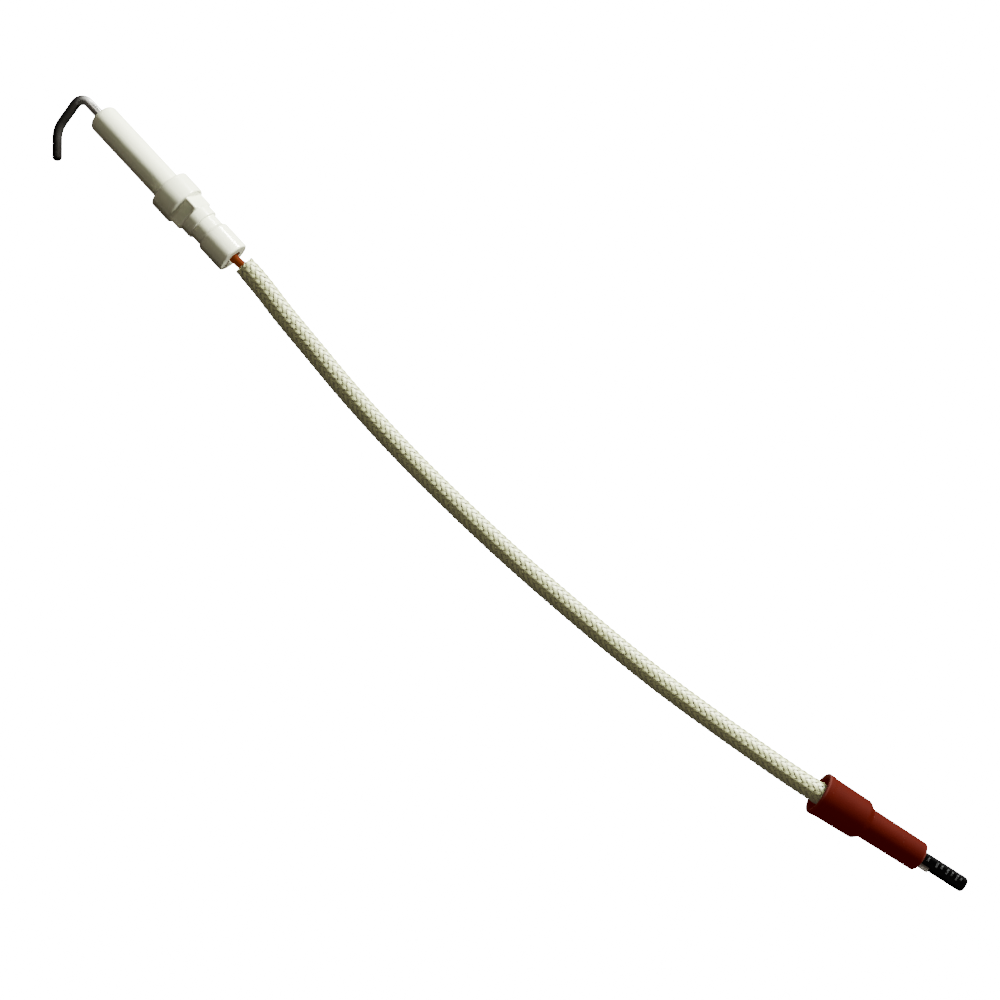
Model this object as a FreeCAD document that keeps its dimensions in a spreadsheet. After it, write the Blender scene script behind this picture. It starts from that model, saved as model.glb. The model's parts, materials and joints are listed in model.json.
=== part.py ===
import FreeCAD, Part
import math
import os
import Sketcher

# Ignition electrode for a gas boiler: a bent electrode rod in a glazed ceramic
# insulator, a silicone-insulated lead in a braided glass-fibre sleeve, and a
# crimped tab receptacle with a heat-shrink tube inside a loose silicone boot.
#
# Millimetres and degrees.  The origin is the centre of the collar's front face,
# +X runs along the insulator's axis towards the electrode's hook, and +Z is up.
# The collar, the sleeve and the boot's lip rest on the plane z = -collar radius.
# Sizes along the insulator are stated as X; sizes along the connector end are
# stated as distances from the boot's mouth, along the boot's own axis.

SIZES = {
    # Insulator, from its front to its rear
    "nose_diameter": 7.0,
    "nose_length": 22.85,
    "nose_edge_radius": 1.4,
    "collar_diameter": 10.4,
    "collar_length": 5.5,
    "collar_edge_radius": 0.45,
    "square_envelope": 9.7,
    "square_across_flats": 7.1,
    "square_length": 3.3,
    "square_turn": 65.5,
    "ring_diameter": 8.1,
    "ring_length": 2.7,
    "ring_edge_radius": 0.3,
    "neck_diameter": 7.1,
    "neck_length": 2.8,
    "cone_length": 0.7,
    "barrel_diameter": 8.2,
    "barrel_length": 6.8,
    "barrel_edge_chamfer": 0.35,
    "rod_bore_diameter": 2.4,
    "rear_bore_diameter": 3.6,
    "rear_bore_length": 16.7,
    # Electrode rod and its cement
    "rod_diameter": 2.2,
    "rod_rear_x": -10.0,
    "rod_corner_x": 29.3,
    "rod_elbow_x": 27.4,
    "rod_elbow_y": 9.4,
    "rod_tip_x": 22.1,
    "rod_tip_y": 14.4,
    "rod_corner_radius": 2.0,
    "rod_elbow_radius": 6.6,
    "rod_tip_round": 0.9,
    "cement_diameter": 3.4,
    "cement_length": 2.5,
    "cement_recess": 0.15,
    # Crimped joint and potting inside the insulator
    "ferrule_diameter": 3.2,
    "ferrule_front_x": -5.4,
    "ferrule_web": 0.4,
    "ferrule_length": 7.9,
    "seal_front_x": -14.0,
    "seal_length": 7.3,
    # Lead and sleeve
    "lead_diameter": 2.1,
    "lead_bore_diameter": 0.95,
    "conductor_diameter": 0.9,
    "sleeve_diameter": 5.3,
    "sleeve_bore_diameter": 3.9,
    # Where the boot's mouth is, and which way its axis points
    "boot_mouth_x": -202.9,
    "boot_mouth_y": -14.7,
    "boot_heading": 194.56,
    # Boot
    "boot_lip_diameter": 10.4,
    "boot_lip_length": 1.8,
    "boot_wide_diameter": 10.05,
    "boot_shoulder_diameter": 9.6,
    "boot_shoulder_at": 11.4,
    "boot_shoulder_length": 1.6,
    "boot_narrow_diameter": 7.35,
    "boot_end_diameter": 7.0,
    "boot_length": 27.6,
    "boot_wide_bore": 8.2,
    "boot_wide_bore_depth": 10.3,
    "boot_bore_cone_length": 1.6,
    "boot_narrow_bore": 4.8,
    "boot_end_radius": 0.7,
    "boot_shoulder_radius": 1.0,
    # Receptacle terminal, for a 2.8 x 0.8 tab
    "lead_grip_at": 17.6,
    "lead_grip_length": 2.9,
    "lead_grip_diameter": 2.8,
    "lead_end_at": 21.0,
    "wire_grip_at": 21.6,
    "wire_grip_length": 3.2,
    "wire_grip_diameter": 2.4,
    "conductor_end_at": 25.2,
    "floor_width": 1.6,
    "floor_top": -1.06,
    "floor_thickness": 0.34,
    "floor_overlap": 1.0,
    "receptacle_at": 28.0,
    "receptacle_end": 39.6,
    "receptacle_width": 3.2,
    "receptacle_height": 1.65,
    "receptacle_centre_z": -0.375,
    "receptacle_corner": 0.4,
    "tab_slot_width": 2.84,
    "tab_slot_height": 0.9,
    "wing_reach": 2.2,
    "wing_length": 3.0,
    "wing_thickness": 0.34,
    "wing_root": 0.15,
    # Heat-shrink tube over the receptacle
    "shrink_at": 26.2,
    "shrink_end": 40.1,
    "shrink_wall": 0.2,
    "shrink_corner": 0.8,
    "shrink_split_at": 31.0,
    "shrink_split_y": 0.9,
    "shrink_mouth_width": 2.9,
    "shrink_mouth_height": 1.0,
    "shrink_end_radius": 0.45,
}

# The lead's centre line.  It lies straight in the insulator's bore, drops from
# the insulator's axis to the height of a sleeve that lies on the surface, runs
# along it in one long bend and climbs again into the boot.
LEAD_EXIT_ROUTE = [
    (-22.7, 0.0, 0.0),
    (-25.6, -0.7, -0.9),
]
SLEEVED_ROUTE = [
    (-30.1, -0.55, -1.9),
    (-37.6, 0.35, -2.45),
    (-48.1, 0.9, -2.55),
    (-62.1, 1.75, -2.55),
    (-78.6, 1.95, -2.55),
    (-94.1, 1.45, -2.55),
    (-111.6, 0.35, -2.55),
    (-127.1, -1.15, -2.55),
    (-145.1, -3.3, -2.55),
    (-160.6, -5.55, -2.55),
    (-175.1, -8.35, -2.55),
    (-186.6, -10.75, -2.25),
    (-196.6, -13.0, -1.1),
    (-204.6, -15.12, -0.25),
]
SLEEVE_FRONT = (-24.5, -0.7, -0.75)
SLEEVE_END_AT = 7.0
LEAD_LEVEL_AT = 12.0

# An arc of a cord takes this share of the shorter of its two runs.
ARC_SHARE = 0.45
# How far apart a tube's volume and its section times its length may be.
VOLUME_TOLERANCE = 0.002

X_AXIS = FreeCAD.Vector(1, 0, 0)
Z_AXIS = FreeCAD.Vector(0, 0, 1)

document = FreeCAD.newDocument("ignition_electrode")


def fill_sheet():
    """Put every driving size in a spreadsheet, each under its own alias."""
    sheet = document.addObject("Spreadsheet::Sheet", "sizes")
    for row, (alias, value) in enumerate(SIZES.items(), start=1):
        sheet.set(f"A{row}", alias)
        sheet.set(f"B{row}", str(value))
        sheet.setAlias(f"B{row}", alias)
    document.recompute()
    return sheet


sizes = fill_sheet()


def size(alias):
    """Read one size back from the sheet."""
    return float(sizes.get(alias))


# --- Helpers for sketched features -----------------------------------------


def new_body(label):
    """Start a body whose label is the sub-part's node name."""
    body = document.addObject("PartDesign::Body", label)
    body.Label = label
    return body


def new_sketch(body, name, plane, distance="0", turn="0"):
    """Attach a sketch to one of its body's origin planes, lifted and turned."""
    sketch = body.newObject("Sketcher::SketchObject", name)
    plane_object = next(item for item in body.Origin.OriginFeatures if item.Role == plane)
    sketch.AttachmentSupport = [(plane_object, "")]
    sketch.MapMode = "FlatFace"
    sketch.AttachmentOffset = FreeCAD.Placement(FreeCAD.Vector(), FreeCAD.Rotation(Z_AXIS, 0))
    sketch.setExpression("AttachmentOffset.Base.z", distance)
    sketch.setExpression("AttachmentOffset.Rotation.Angle", turn)
    return sketch


def fix_point(sketch, geometry, end, corner):
    """Bind a point's place in the sketch to a pair of expressions."""
    for direction, text in zip("XY", corner):
        value = float(sketch.evalExpression(text))
        rule = Sketcher.Constraint(f"Distance{direction}", -1, 1, geometry, end, value)
        number = sketch.addConstraint(rule)
        sketch.setExpression(f"Constraints[{number}]", text)


def corner_vector(sketch, corner):
    """Work out where a pair of expressions puts a point."""
    x, y = (float(sketch.evalExpression(text)) for text in corner)
    return FreeCAD.Vector(x, y, 0)


def add_outline(sketch, corners):
    """Draw a closed outline of straight lines whose corners are expressions."""
    first = sketch.GeometryCount
    count = len(corners)
    spots = [corner_vector(sketch, corner) for corner in corners]
    for index in range(count):
        following = (index + 1) % count
        sketch.addGeometry(Part.LineSegment(spots[index], spots[following]))
    for index, corner in enumerate(corners):
        following = (index + 1) % count
        sketch.addConstraint(
            Sketcher.Constraint("Coincident", first + index, 2, first + following, 1)
        )
        fix_point(sketch, first + index, 1, corner)


def add_circle(sketch, radius):
    """Draw a circle on the sketch's origin, its radius an expression."""
    value = float(sketch.evalExpression(radius))
    circle = sketch.addGeometry(Part.Circle(FreeCAD.Vector(), Z_AXIS, value))
    sketch.addConstraint(Sketcher.Constraint("Coincident", circle, 3, -1, 1))
    number = sketch.addConstraint(Sketcher.Constraint("Radius", circle, value))
    sketch.setExpression(f"Constraints[{number}]", radius)


def box_corners(half_width, low, high):
    """List the corners of a rectangle centred on the sketch's vertical axis."""
    return [
        (f"-({half_width})", low),
        (half_width, low),
        (half_width, high),
        (f"-({half_width})", high),
    ]


def add_rounded_box(sketch, half_width, low, high, corner_radius):
    """Draw a rectangle with round corners, centred on the sketch's vertical axis."""
    side = float(sketch.evalExpression(half_width))
    bottom = float(sketch.evalExpression(low))
    top = float(sketch.evalExpression(high))
    radius = float(sketch.evalExpression(corner_radius))
    inset = side - radius
    centres = [
        (inset, bottom + radius),
        (inset, top - radius),
        (-inset, top - radius),
        (-inset, bottom + radius),
    ]
    quarter = math.pi / 2
    for index, (x, y) in enumerate(centres):
        start_angle = quarter * (index - 1)
        circle = Part.Circle(FreeCAD.Vector(x, y, 0), Z_AXIS, radius)
        sketch.addGeometry(Part.ArcOfCircle(circle, start_angle, start_angle + quarter))
    corner_count = len(centres)
    for index in range(corner_count):
        start = sketch.Geometry[index].EndPoint
        end = sketch.Geometry[(index + 1) % corner_count].StartPoint
        sketch.addGeometry(Part.LineSegment(start, end))
    sides = [("X", half_width), ("Y", high), ("X", f"-({half_width})"), ("Y", low)]
    for index, (direction, text) in enumerate(sides):
        line = corner_count + index
        following = (index + 1) % corner_count
        upright = "Vertical" if direction == "X" else "Horizontal"
        place = float(sketch.evalExpression(text))
        sketch.addConstraint(Sketcher.Constraint("Tangent", index, 2, line, 1))
        sketch.addConstraint(Sketcher.Constraint("Tangent", line, 2, following, 1))
        sketch.addConstraint(Sketcher.Constraint(upright, line))
        round_rule = sketch.addConstraint(Sketcher.Constraint("Radius", index, radius))
        sketch.setExpression(f"Constraints[{round_rule}]", corner_radius)
        side_rule = sketch.addConstraint(
            Sketcher.Constraint(f"Distance{direction}", -1, 1, line, 1, place)
        )
        sketch.setExpression(f"Constraints[{side_rule}]", text)


def revolve(body, name, corners):
    """Turn a closed outline, drawn as (x, radius), about the body's X axis."""
    sketch = new_sketch(body, f"{name}_outline", "XY_Plane")
    add_outline(sketch, corners)
    feature = body.newObject("PartDesign::Revolution", name)
    feature.Profile = sketch
    feature.ReferenceAxis = (sketch, ["H_Axis"])
    feature.Angle = 360
    document.recompute()
    return feature


def pad(body, name, sketch, length):
    """Pad a sketch along its normal by an expression."""
    feature = body.newObject("PartDesign::Pad", name)
    feature.Profile = sketch
    feature.setExpression("Length", length)
    document.recompute()
    return feature


def pocket(body, name, sketch, length, reverse=False):
    """Cut a sketch into the solid by an expression, and make sure that it cuts."""
    before = body.Shape.Volume
    feature = body.newObject("PartDesign::Pocket", name)
    feature.Profile = sketch
    feature.Reversed = reverse
    feature.setExpression("Length", length)
    document.recompute()
    if body.Shape.Volume >= before:
        raise RuntimeError(f"{name} removes nothing")
    return feature


def dress_edges(body, kind, name, wanted, amount):
    """Round or chamfer the edges of the body's tip that a test picks."""
    base = body.Tip
    names = [f"Edge{n}" for n, edge in enumerate(base.Shape.Edges, start=1) if wanted(edge)]
    if not names:
        raise RuntimeError(f"{name} finds no edge")
    feature = body.newObject(f"PartDesign::{kind}", name)
    feature.Base = (base, names)
    measure = "Radius" if kind == "Fillet" else "Size"
    feature.setExpression(measure, amount)
    document.recompute()
    return feature


def circle_at(x, radius):
    """Make a test for a full circular edge at one X with one radius."""

    def wanted(edge):
        curve = edge.Curve
        if not isinstance(curve, Part.Circle) or not edge.isClosed():
            return False
        return abs(curve.Center.x - x) < 0.01 and abs(curve.Radius - radius) < 0.01

    return wanted


def bind_to_boot_axis(item):
    """Place a sub-part drawn along X so that X becomes the boot's axis."""
    heading = FreeCAD.Rotation(Z_AXIS, size("boot_heading"))
    item.Placement = FreeCAD.Placement(FreeCAD.Vector(), heading)
    item.setExpression("Placement.Base.x", "sizes.boot_mouth_x")
    item.setExpression("Placement.Base.y", "sizes.boot_mouth_y")
    item.setExpression("Placement.Rotation.Angle", "sizes.boot_heading")


# --- Helpers for round pieces and cords -------------------------------------


def ring(label, outer, inner, start, length):
    """Make a plain tube along X from two cylinders, its sizes expressions."""
    cylinders = []
    for role, diameter in (("outside", outer), ("inside", inner)):
        cylinder = document.addObject("Part::Cylinder", f"{label}_{role}")
        cylinder.setExpression("Radius", f"({diameter}) / 2")
        cylinder.setExpression("Height", length)
        cylinder.Placement = FreeCAD.Placement(
            FreeCAD.Vector(), FreeCAD.Rotation(Z_AXIS, X_AXIS)
        )
        cylinder.setExpression("Placement.Base.x", start)
        cylinders.append(cylinder)
    cut = document.addObject("Part::Cut", label)
    cut.Label = label
    cut.Base, cut.Tool = cylinders
    document.recompute()
    return cut


def boot_point(distance):
    """Give the point on the boot's axis at a distance from its mouth."""
    heading = math.radians(size("boot_heading"))
    x = size("boot_mouth_x") + distance * math.cos(heading)
    y = size("boot_mouth_y") + distance * math.sin(heading)
    return (x, y, 0.0)


def cord_path(label, route):
    """Join a route's straight runs by tangent arcs and print their radii."""
    points = [FreeCAD.Vector(*point) for point in route]
    edges = []
    radii = []
    reached = points[0]
    for before, corner, after in zip(points, points[1:], points[2:]):
        back = (before - corner).normalize()
        ahead = (after - corner).normalize()
        shorter = min(before.distanceToPoint(corner), after.distanceToPoint(corner))
        half_turn = (math.pi - back.getAngle(ahead)) / 2
        tangent = ARC_SHARE * shorter
        radius = tangent / math.tan(half_turn)
        arc_start = corner + back * tangent
        arc_end = corner + ahead * tangent
        inward = (back + ahead).normalize()
        to_centre = math.hypot(radius, tangent)
        middle = corner + inward * (to_centre - radius)
        edges.append(Part.LineSegment(reached, arc_start).toShape())
        edges.append(Part.Arc(arc_start, middle, arc_end).toShape())
        radii.append(radius)
        reached = arc_end
    edges.append(Part.LineSegment(reached, points[-1]).toShape())
    print(f"{label}: arc radii {[round(radius, 1) for radius in radii]}")
    return Part.Wire(edges)


def round_sweep(path, diameter):
    """Sweep a circle along a path into a solid."""
    start = path.Edges[0].Vertexes[0].Point
    direction = path.Edges[0].tangentAt(path.Edges[0].FirstParameter)
    circle = Part.Circle(start, direction, diameter / 2).toShape()
    return path.makePipeShell([Part.Wire(circle)], True, False)


def cord(label, route, outer, inner=0.0):
    """Make a round cord, hollow or solid, and check its volume."""
    path = cord_path(label, route)
    shape = round_sweep(path, outer)
    section = math.pi * outer**2 / 4
    if inner:
        shape = shape.cut(round_sweep(path, inner))
        section -= math.pi * inner**2 / 4
    expected = section * path.Length
    error = abs(shape.Volume - expected) / expected
    print(f"{label}: length {path.Length:.1f} mm, volume within {error:.2%} of section x length")
    if error > VOLUME_TOLERANCE:
        raise RuntimeError(f"{label} has the wrong volume")
    feature = document.addObject("Part::Feature", label)
    feature.Label = label
    feature.Shape = shape
    feature.Placement = FreeCAD.Placement()
    return feature


# --- Insulator and what it holds ---------------------------------------------


def make_ceramic_insulator():
    """Turn the stepped insulator with its bores, then cut its square section."""
    body = new_body("ceramic_insulator")
    square_rear = "-sizes.collar_length - sizes.square_length"
    ring_rear = f"{square_rear} - sizes.ring_length"
    neck_rear = f"{ring_rear} - sizes.neck_length"
    cone_rear = f"{neck_rear} - sizes.cone_length"
    rear = f"{cone_rear} - sizes.barrel_length"
    bore_step = f"{rear} + sizes.rear_bore_length"
    cement_rear = "sizes.nose_length - sizes.cement_recess - sizes.cement_length"
    revolve(
        body,
        "turned_insulator",
        [
            (rear, "sizes.rear_bore_diameter / 2"),
            (rear, "sizes.barrel_diameter / 2"),
            (cone_rear, "sizes.barrel_diameter / 2"),
            (neck_rear, "sizes.neck_diameter / 2"),
            (ring_rear, "sizes.neck_diameter / 2"),
            (ring_rear, "sizes.ring_diameter / 2"),
            (square_rear, "sizes.ring_diameter / 2"),
            (square_rear, "sizes.square_envelope / 2"),
            ("-sizes.collar_length", "sizes.square_envelope / 2"),
            ("-sizes.collar_length", "sizes.collar_diameter / 2"),
            ("0", "sizes.collar_diameter / 2"),
            ("0", "sizes.nose_diameter / 2"),
            ("sizes.nose_length", "sizes.nose_diameter / 2"),
            ("sizes.nose_length", "sizes.cement_diameter / 2"),
            (cement_rear, "sizes.cement_diameter / 2"),
            (cement_rear, "sizes.rod_bore_diameter / 2"),
            (bore_step, "sizes.rod_bore_diameter / 2"),
            (bore_step, "sizes.rear_bore_diameter / 2"),
        ],
    )
    flat = new_sketch(body, "flat_outline", "YZ_Plane", "-sizes.collar_length", "sizes.square_turn")
    add_outline(
        flat,
        box_corners(
            "sizes.square_envelope / 2",
            "sizes.square_across_flats / 2",
            "sizes.collar_diameter / 2",
        ),
    )
    cut = pocket(body, "square_flat", flat, "sizes.square_length")
    flats = body.newObject("PartDesign::PolarPattern", "square_flats")
    flats.Originals = [cut]
    flats.Axis = (flat, ["N_Axis"])
    flats.Angle = 360
    flats.Occurrences = 4
    body.Tip = flats
    document.recompute()

    nose_radius = size("nose_diameter") / 2
    nose_edge = circle_at(size("nose_length"), nose_radius)
    dress_edges(body, "Fillet", "nose_edge", nose_edge, "sizes.nose_edge_radius")
    collar_radius = size("collar_diameter") / 2
    collar_front = circle_at(0, collar_radius)
    collar_back = circle_at(-size("collar_length"), collar_radius)
    dress_edges(
        body,
        "Fillet",
        "collar_edges",
        lambda edge: collar_front(edge) or collar_back(edge),
        "sizes.collar_edge_radius",
    )
    ring_back = circle_at(
        -size("collar_length") - size("square_length") - size("ring_length"),
        size("ring_diameter") / 2,
    )
    dress_edges(body, "Fillet", "ring_edge", ring_back, "sizes.ring_edge_radius")
    barrel_rear = circle_at(insulator_rear(), size("barrel_diameter") / 2)
    dress_edges(body, "Chamfer", "rear_edge", barrel_rear, "sizes.barrel_edge_chamfer")
    return body


def insulator_rear():
    """Give the X of the insulator's rear face."""
    lengths = (
        "collar_length",
        "square_length",
        "ring_length",
        "neck_length",
        "cone_length",
        "barrel_length",
    )
    return -sum(size(alias) for alias in lengths)


def make_electrode_rod():
    """Bend the rod: straight, a tight corner, a wide elbow and a round tip."""
    body = new_body("electrode_rod")
    section = new_sketch(body, "rod_section", "YZ_Plane", "sizes.rod_rear_x")
    add_circle(section, "sizes.rod_diameter / 2")
    path = new_sketch(body, "rod_path", "XY_Plane")
    stops = [
        ("sizes.rod_rear_x", "0"),
        ("sizes.rod_corner_x", "0"),
        ("sizes.rod_elbow_x", "sizes.rod_elbow_y"),
        ("sizes.rod_tip_x", "sizes.rod_tip_y"),
    ]
    spots = [corner_vector(path, stop) for stop in stops]
    bends = ["sizes.rod_corner_radius", "sizes.rod_elbow_radius"]
    reached = spots[0]
    for before, corner, after, bend in zip(spots, spots[1:], spots[2:], bends):
        radius = float(path.evalExpression(bend))
        back = (before - corner).normalize()
        ahead = (after - corner).normalize()
        half_turn = (math.pi - back.getAngle(ahead)) / 2
        arc_start = corner + back * radius * math.tan(half_turn)
        arc_end = corner + ahead * radius * math.tan(half_turn)
        inward = (back + ahead).normalize()
        middle = corner + inward * (radius / math.cos(half_turn) - radius)
        path.addGeometry(Part.LineSegment(reached, arc_start))
        path.addGeometry(Part.Arc(arc_start, middle, arc_end))
        reached = arc_end
    path.addGeometry(Part.LineSegment(reached, spots[-1]))
    last = path.GeometryCount - 1
    fix_point(path, 0, 1, stops[0])
    fix_point(path, last, 2, stops[-1])
    for number, (stop, bend) in enumerate(zip(stops[1:-1], bends)):
        line = 2 * number
        arc = line + 1
        path.addConstraint(Sketcher.Constraint("Tangent", line, 2, arc, 1))
        path.addConstraint(Sketcher.Constraint("Tangent", arc, 2, line + 2, 1))
        rule = path.addConstraint(
            Sketcher.Constraint("Radius", arc, float(path.evalExpression(bend)))
        )
        path.setExpression(f"Constraints[{rule}]", bend)
        mark = path.addGeometry(Part.Point(corner_vector(path, stop)), True)
        path.addConstraint(Sketcher.Constraint("PointOnObject", mark, 1, line))
        path.addConstraint(Sketcher.Constraint("PointOnObject", mark, 1, line + 2))
        fix_point(path, mark, 1, stop)
    document.recompute()
    rod = body.newObject("PartDesign::AdditivePipe", "bent_rod")
    rod.Profile = section
    rod.Spine = (path, [f"Edge{n + 1}" for n in range(last + 1)])
    document.recompute()
    tip = spots[-1]

    def tip_edge(edge):
        return edge.isClosed() and edge.CenterOfMass.distanceToPoint(tip) < 0.01

    dress_edges(body, "Fillet", "round_tip", tip_edge, "sizes.rod_tip_round")
    return body


def make_joint_ferrule():
    """Turn the crimp ferrule, with a wide bore for the rod and a fine one for the wire."""
    body = new_body("joint_ferrule")
    rear = "sizes.ferrule_front_x - sizes.ferrule_length"
    web_rear = "sizes.rod_rear_x - sizes.ferrule_web"
    revolve(
        body,
        "turned_ferrule",
        [
            ("sizes.ferrule_front_x", "sizes.rod_diameter / 2"),
            ("sizes.ferrule_front_x", "sizes.ferrule_diameter / 2"),
            (rear, "sizes.ferrule_diameter / 2"),
            (rear, "sizes.conductor_diameter / 2"),
            (web_rear, "sizes.conductor_diameter / 2"),
            (web_rear, "0"),
            ("sizes.rod_rear_x", "0"),
            ("sizes.rod_rear_x", "sizes.rod_diameter / 2"),
        ],
    )
    return body


def make_rod_cement():
    """Fill the nose's mouth around the rod with cement."""
    return ring(
        "rod_cement",
        "sizes.cement_diameter",
        "sizes.rod_diameter",
        "sizes.nose_length - sizes.cement_recess - sizes.cement_length",
        "sizes.cement_length",
    )


def make_rear_seal():
    """Fill the rear bore around the lead with potting."""
    return ring(
        "rear_seal",
        "sizes.rear_bore_diameter",
        "sizes.lead_diameter",
        "sizes.seal_front_x - sizes.seal_length",
        "sizes.seal_length",
    )


# --- Lead and sleeve -----------------------------------------------------------


def make_lead():
    """Make the wire, its silicone insulation and the loose braided sleeve."""
    ferrule_rear = size("ferrule_front_x") - size("ferrule_length")
    wire_front = size("rod_rear_x") - size("ferrule_web")
    level = boot_point(LEAD_LEVEL_AT)
    shared = LEAD_EXIT_ROUTE + SLEEVED_ROUTE + [level]
    wire_route = [(wire_front, 0.0, 0.0)] + shared + [boot_point(size("conductor_end_at"))]
    lead_route = [(ferrule_rear, 0.0, 0.0)] + shared + [boot_point(size("lead_end_at"))]
    sleeve_route = [SLEEVE_FRONT] + SLEEVED_ROUTE + [boot_point(SLEEVE_END_AT)]
    wire = cord("lead_conductor", wire_route, size("conductor_diameter"))
    insulation = cord(
        "lead_insulation",
        lead_route,
        size("lead_diameter"),
        size("lead_bore_diameter"),
    )
    sleeve = cord(
        "braided_sleeve",
        sleeve_route,
        size("sleeve_diameter"),
        size("sleeve_bore_diameter"),
    )
    return [wire, insulation, sleeve]


# --- Connector end ---------------------------------------------------------------


def make_receptacle_terminal():
    """Form the crimped tab receptacle: two grips, a floor, a box and a side wing."""
    body = new_body("receptacle_terminal")
    bind_to_boot_axis(body)
    floor_low = "sizes.floor_top - sizes.floor_thickness"
    box_low = "sizes.receptacle_centre_z - sizes.receptacle_height / 2"
    box_high = "sizes.receptacle_centre_z + sizes.receptacle_height / 2"
    slot_low = "sizes.receptacle_centre_z - sizes.tab_slot_height / 2"
    slot_high = "sizes.receptacle_centre_z + sizes.tab_slot_height / 2"
    box_length = "sizes.receptacle_end - sizes.receptacle_at"

    floor = new_sketch(body, "floor_section", "YZ_Plane", "sizes.lead_grip_at")
    add_outline(floor, box_corners("sizes.floor_width / 2", floor_low, "sizes.floor_top"))
    pad(
        body,
        "floor",
        floor,
        "sizes.receptacle_at + sizes.floor_overlap - sizes.lead_grip_at",
    )

    box = new_sketch(body, "box_section", "YZ_Plane", "sizes.receptacle_at")
    box_half_width = "sizes.receptacle_width / 2"
    add_rounded_box(box, box_half_width, box_low, box_high, "sizes.receptacle_corner")
    pad(body, "box", box, box_length)

    wing = new_sketch(body, "wing_section", "YZ_Plane", "sizes.receptacle_at")
    wing_root = "-sizes.receptacle_width / 2 + sizes.wing_root"
    wing_low = "sizes.receptacle_centre_z"
    wing_high = "sizes.receptacle_centre_z + sizes.wing_thickness"
    add_outline(
        wing,
        [
            (wing_root, wing_low),
            (wing_root, wing_high),
            ("-sizes.wing_reach", wing_high),
            ("-sizes.wing_reach", wing_low),
        ],
    )
    pad(body, "side_wing", wing, "sizes.wing_length")

    slot = new_sketch(body, "slot_section", "YZ_Plane", "sizes.receptacle_end")
    add_outline(slot, box_corners("sizes.tab_slot_width / 2", slot_low, slot_high))
    pocket(body, "tab_slot", slot, box_length)

    for grip, bore in (("lead_grip", "lead_diameter"), ("wire_grip", "conductor_diameter")):
        outside = new_sketch(body, f"{grip}_section", "YZ_Plane", f"sizes.{grip}_at")
        add_circle(outside, f"sizes.{grip}_diameter / 2")
        pad(body, grip, outside, f"sizes.{grip}_length")
        inside = new_sketch(
            body, f"{grip}_bore", "YZ_Plane", f"sizes.{grip}_at + sizes.{grip}_length"
        )
        add_circle(inside, f"sizes.{bore} / 2")
        pocket(body, f"{grip}_hole", inside, f"sizes.{grip}_length")
    return body


def make_heat_shrink_tube():
    """Form the tube shrunk over the receptacle, split at its rear by the wing."""
    body = new_body("heat_shrink_tube")
    bind_to_boot_axis(body)
    half_width = "sizes.receptacle_width / 2"
    low = "sizes.floor_top - sizes.floor_thickness"
    high = "sizes.receptacle_centre_z + sizes.receptacle_height / 2"
    outside = new_sketch(body, "outside_section", "YZ_Plane", "sizes.shrink_at")
    add_rounded_box(
        outside,
        f"{half_width} + sizes.shrink_wall",
        f"{low} - sizes.shrink_wall",
        f"{high} + sizes.shrink_wall",
        "sizes.shrink_corner",
    )
    pad(body, "outside", outside, "sizes.shrink_end - sizes.shrink_at")
    tip_at = size("shrink_end")

    def tip_edge(edge):
        box = edge.BoundBox
        return abs(box.XMin - tip_at) < 0.001 and abs(box.XMax - tip_at) < 0.001

    dress_edges(body, "Fillet", "round_end", tip_edge, "sizes.shrink_end_radius")

    inside = new_sketch(body, "inside_section", "YZ_Plane", "sizes.shrink_at")
    add_rounded_box(inside, half_width, low, high, "sizes.receptacle_corner")
    pocket(body, "inside", inside, "sizes.receptacle_end - sizes.shrink_at", reverse=True)

    mouth = new_sketch(body, "mouth_section", "YZ_Plane", "sizes.shrink_end")
    add_outline(
        mouth,
        box_corners(
            "sizes.shrink_mouth_width / 2",
            "sizes.receptacle_centre_z - sizes.shrink_mouth_height / 2",
            "sizes.receptacle_centre_z + sizes.shrink_mouth_height / 2",
        ),
    )
    pocket(body, "mouth", mouth, "sizes.shrink_end - sizes.receptacle_end")

    split = new_sketch(body, "split_section", "YZ_Plane", "sizes.shrink_split_at")
    outer_y = f"-({half_width}) - 2 * sizes.shrink_wall"
    add_outline(
        split,
        [
            (outer_y, f"{low} - 2 * sizes.shrink_wall"),
            ("-sizes.shrink_split_y", f"{low} - 2 * sizes.shrink_wall"),
            ("-sizes.shrink_split_y", f"{high} + 2 * sizes.shrink_wall"),
            (outer_y, f"{high} + 2 * sizes.shrink_wall"),
        ],
    )
    pocket(body, "split", split, "sizes.shrink_split_at - sizes.shrink_at")
    return body


def make_silicone_boot():
    """Turn the stepped boot: a wide lipped mouth, a shoulder and a narrow end."""
    body = new_body("silicone_boot")
    bind_to_boot_axis(body)
    narrow_at = "sizes.boot_shoulder_at + sizes.boot_shoulder_length"
    revolve(
        body,
        "moulded_boot",
        [
            ("0", "sizes.boot_wide_bore / 2"),
            ("0", "sizes.boot_lip_diameter / 2"),
            ("sizes.boot_lip_length", "sizes.boot_wide_diameter / 2"),
            ("sizes.boot_shoulder_at", "sizes.boot_shoulder_diameter / 2"),
            (narrow_at, "sizes.boot_narrow_diameter / 2"),
            ("sizes.boot_length", "sizes.boot_end_diameter / 2"),
            ("sizes.boot_length", "sizes.boot_narrow_bore / 2"),
            (
                "sizes.boot_wide_bore_depth + sizes.boot_bore_cone_length",
                "sizes.boot_narrow_bore / 2",
            ),
            ("sizes.boot_wide_bore_depth", "sizes.boot_wide_bore / 2"),
        ],
    )
    end_edge = circle_at(size("boot_length"), size("boot_end_diameter") / 2)
    dress_edges(body, "Fillet", "round_end", end_edge, "sizes.boot_end_radius")
    shoulder_edge = circle_at(size("boot_shoulder_at"), size("boot_shoulder_diameter") / 2)
    dress_edges(body, "Fillet", "round_shoulder", shoulder_edge, "sizes.boot_shoulder_radius")
    return body


# --- Assembly ----------------------------------------------------------------------


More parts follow.
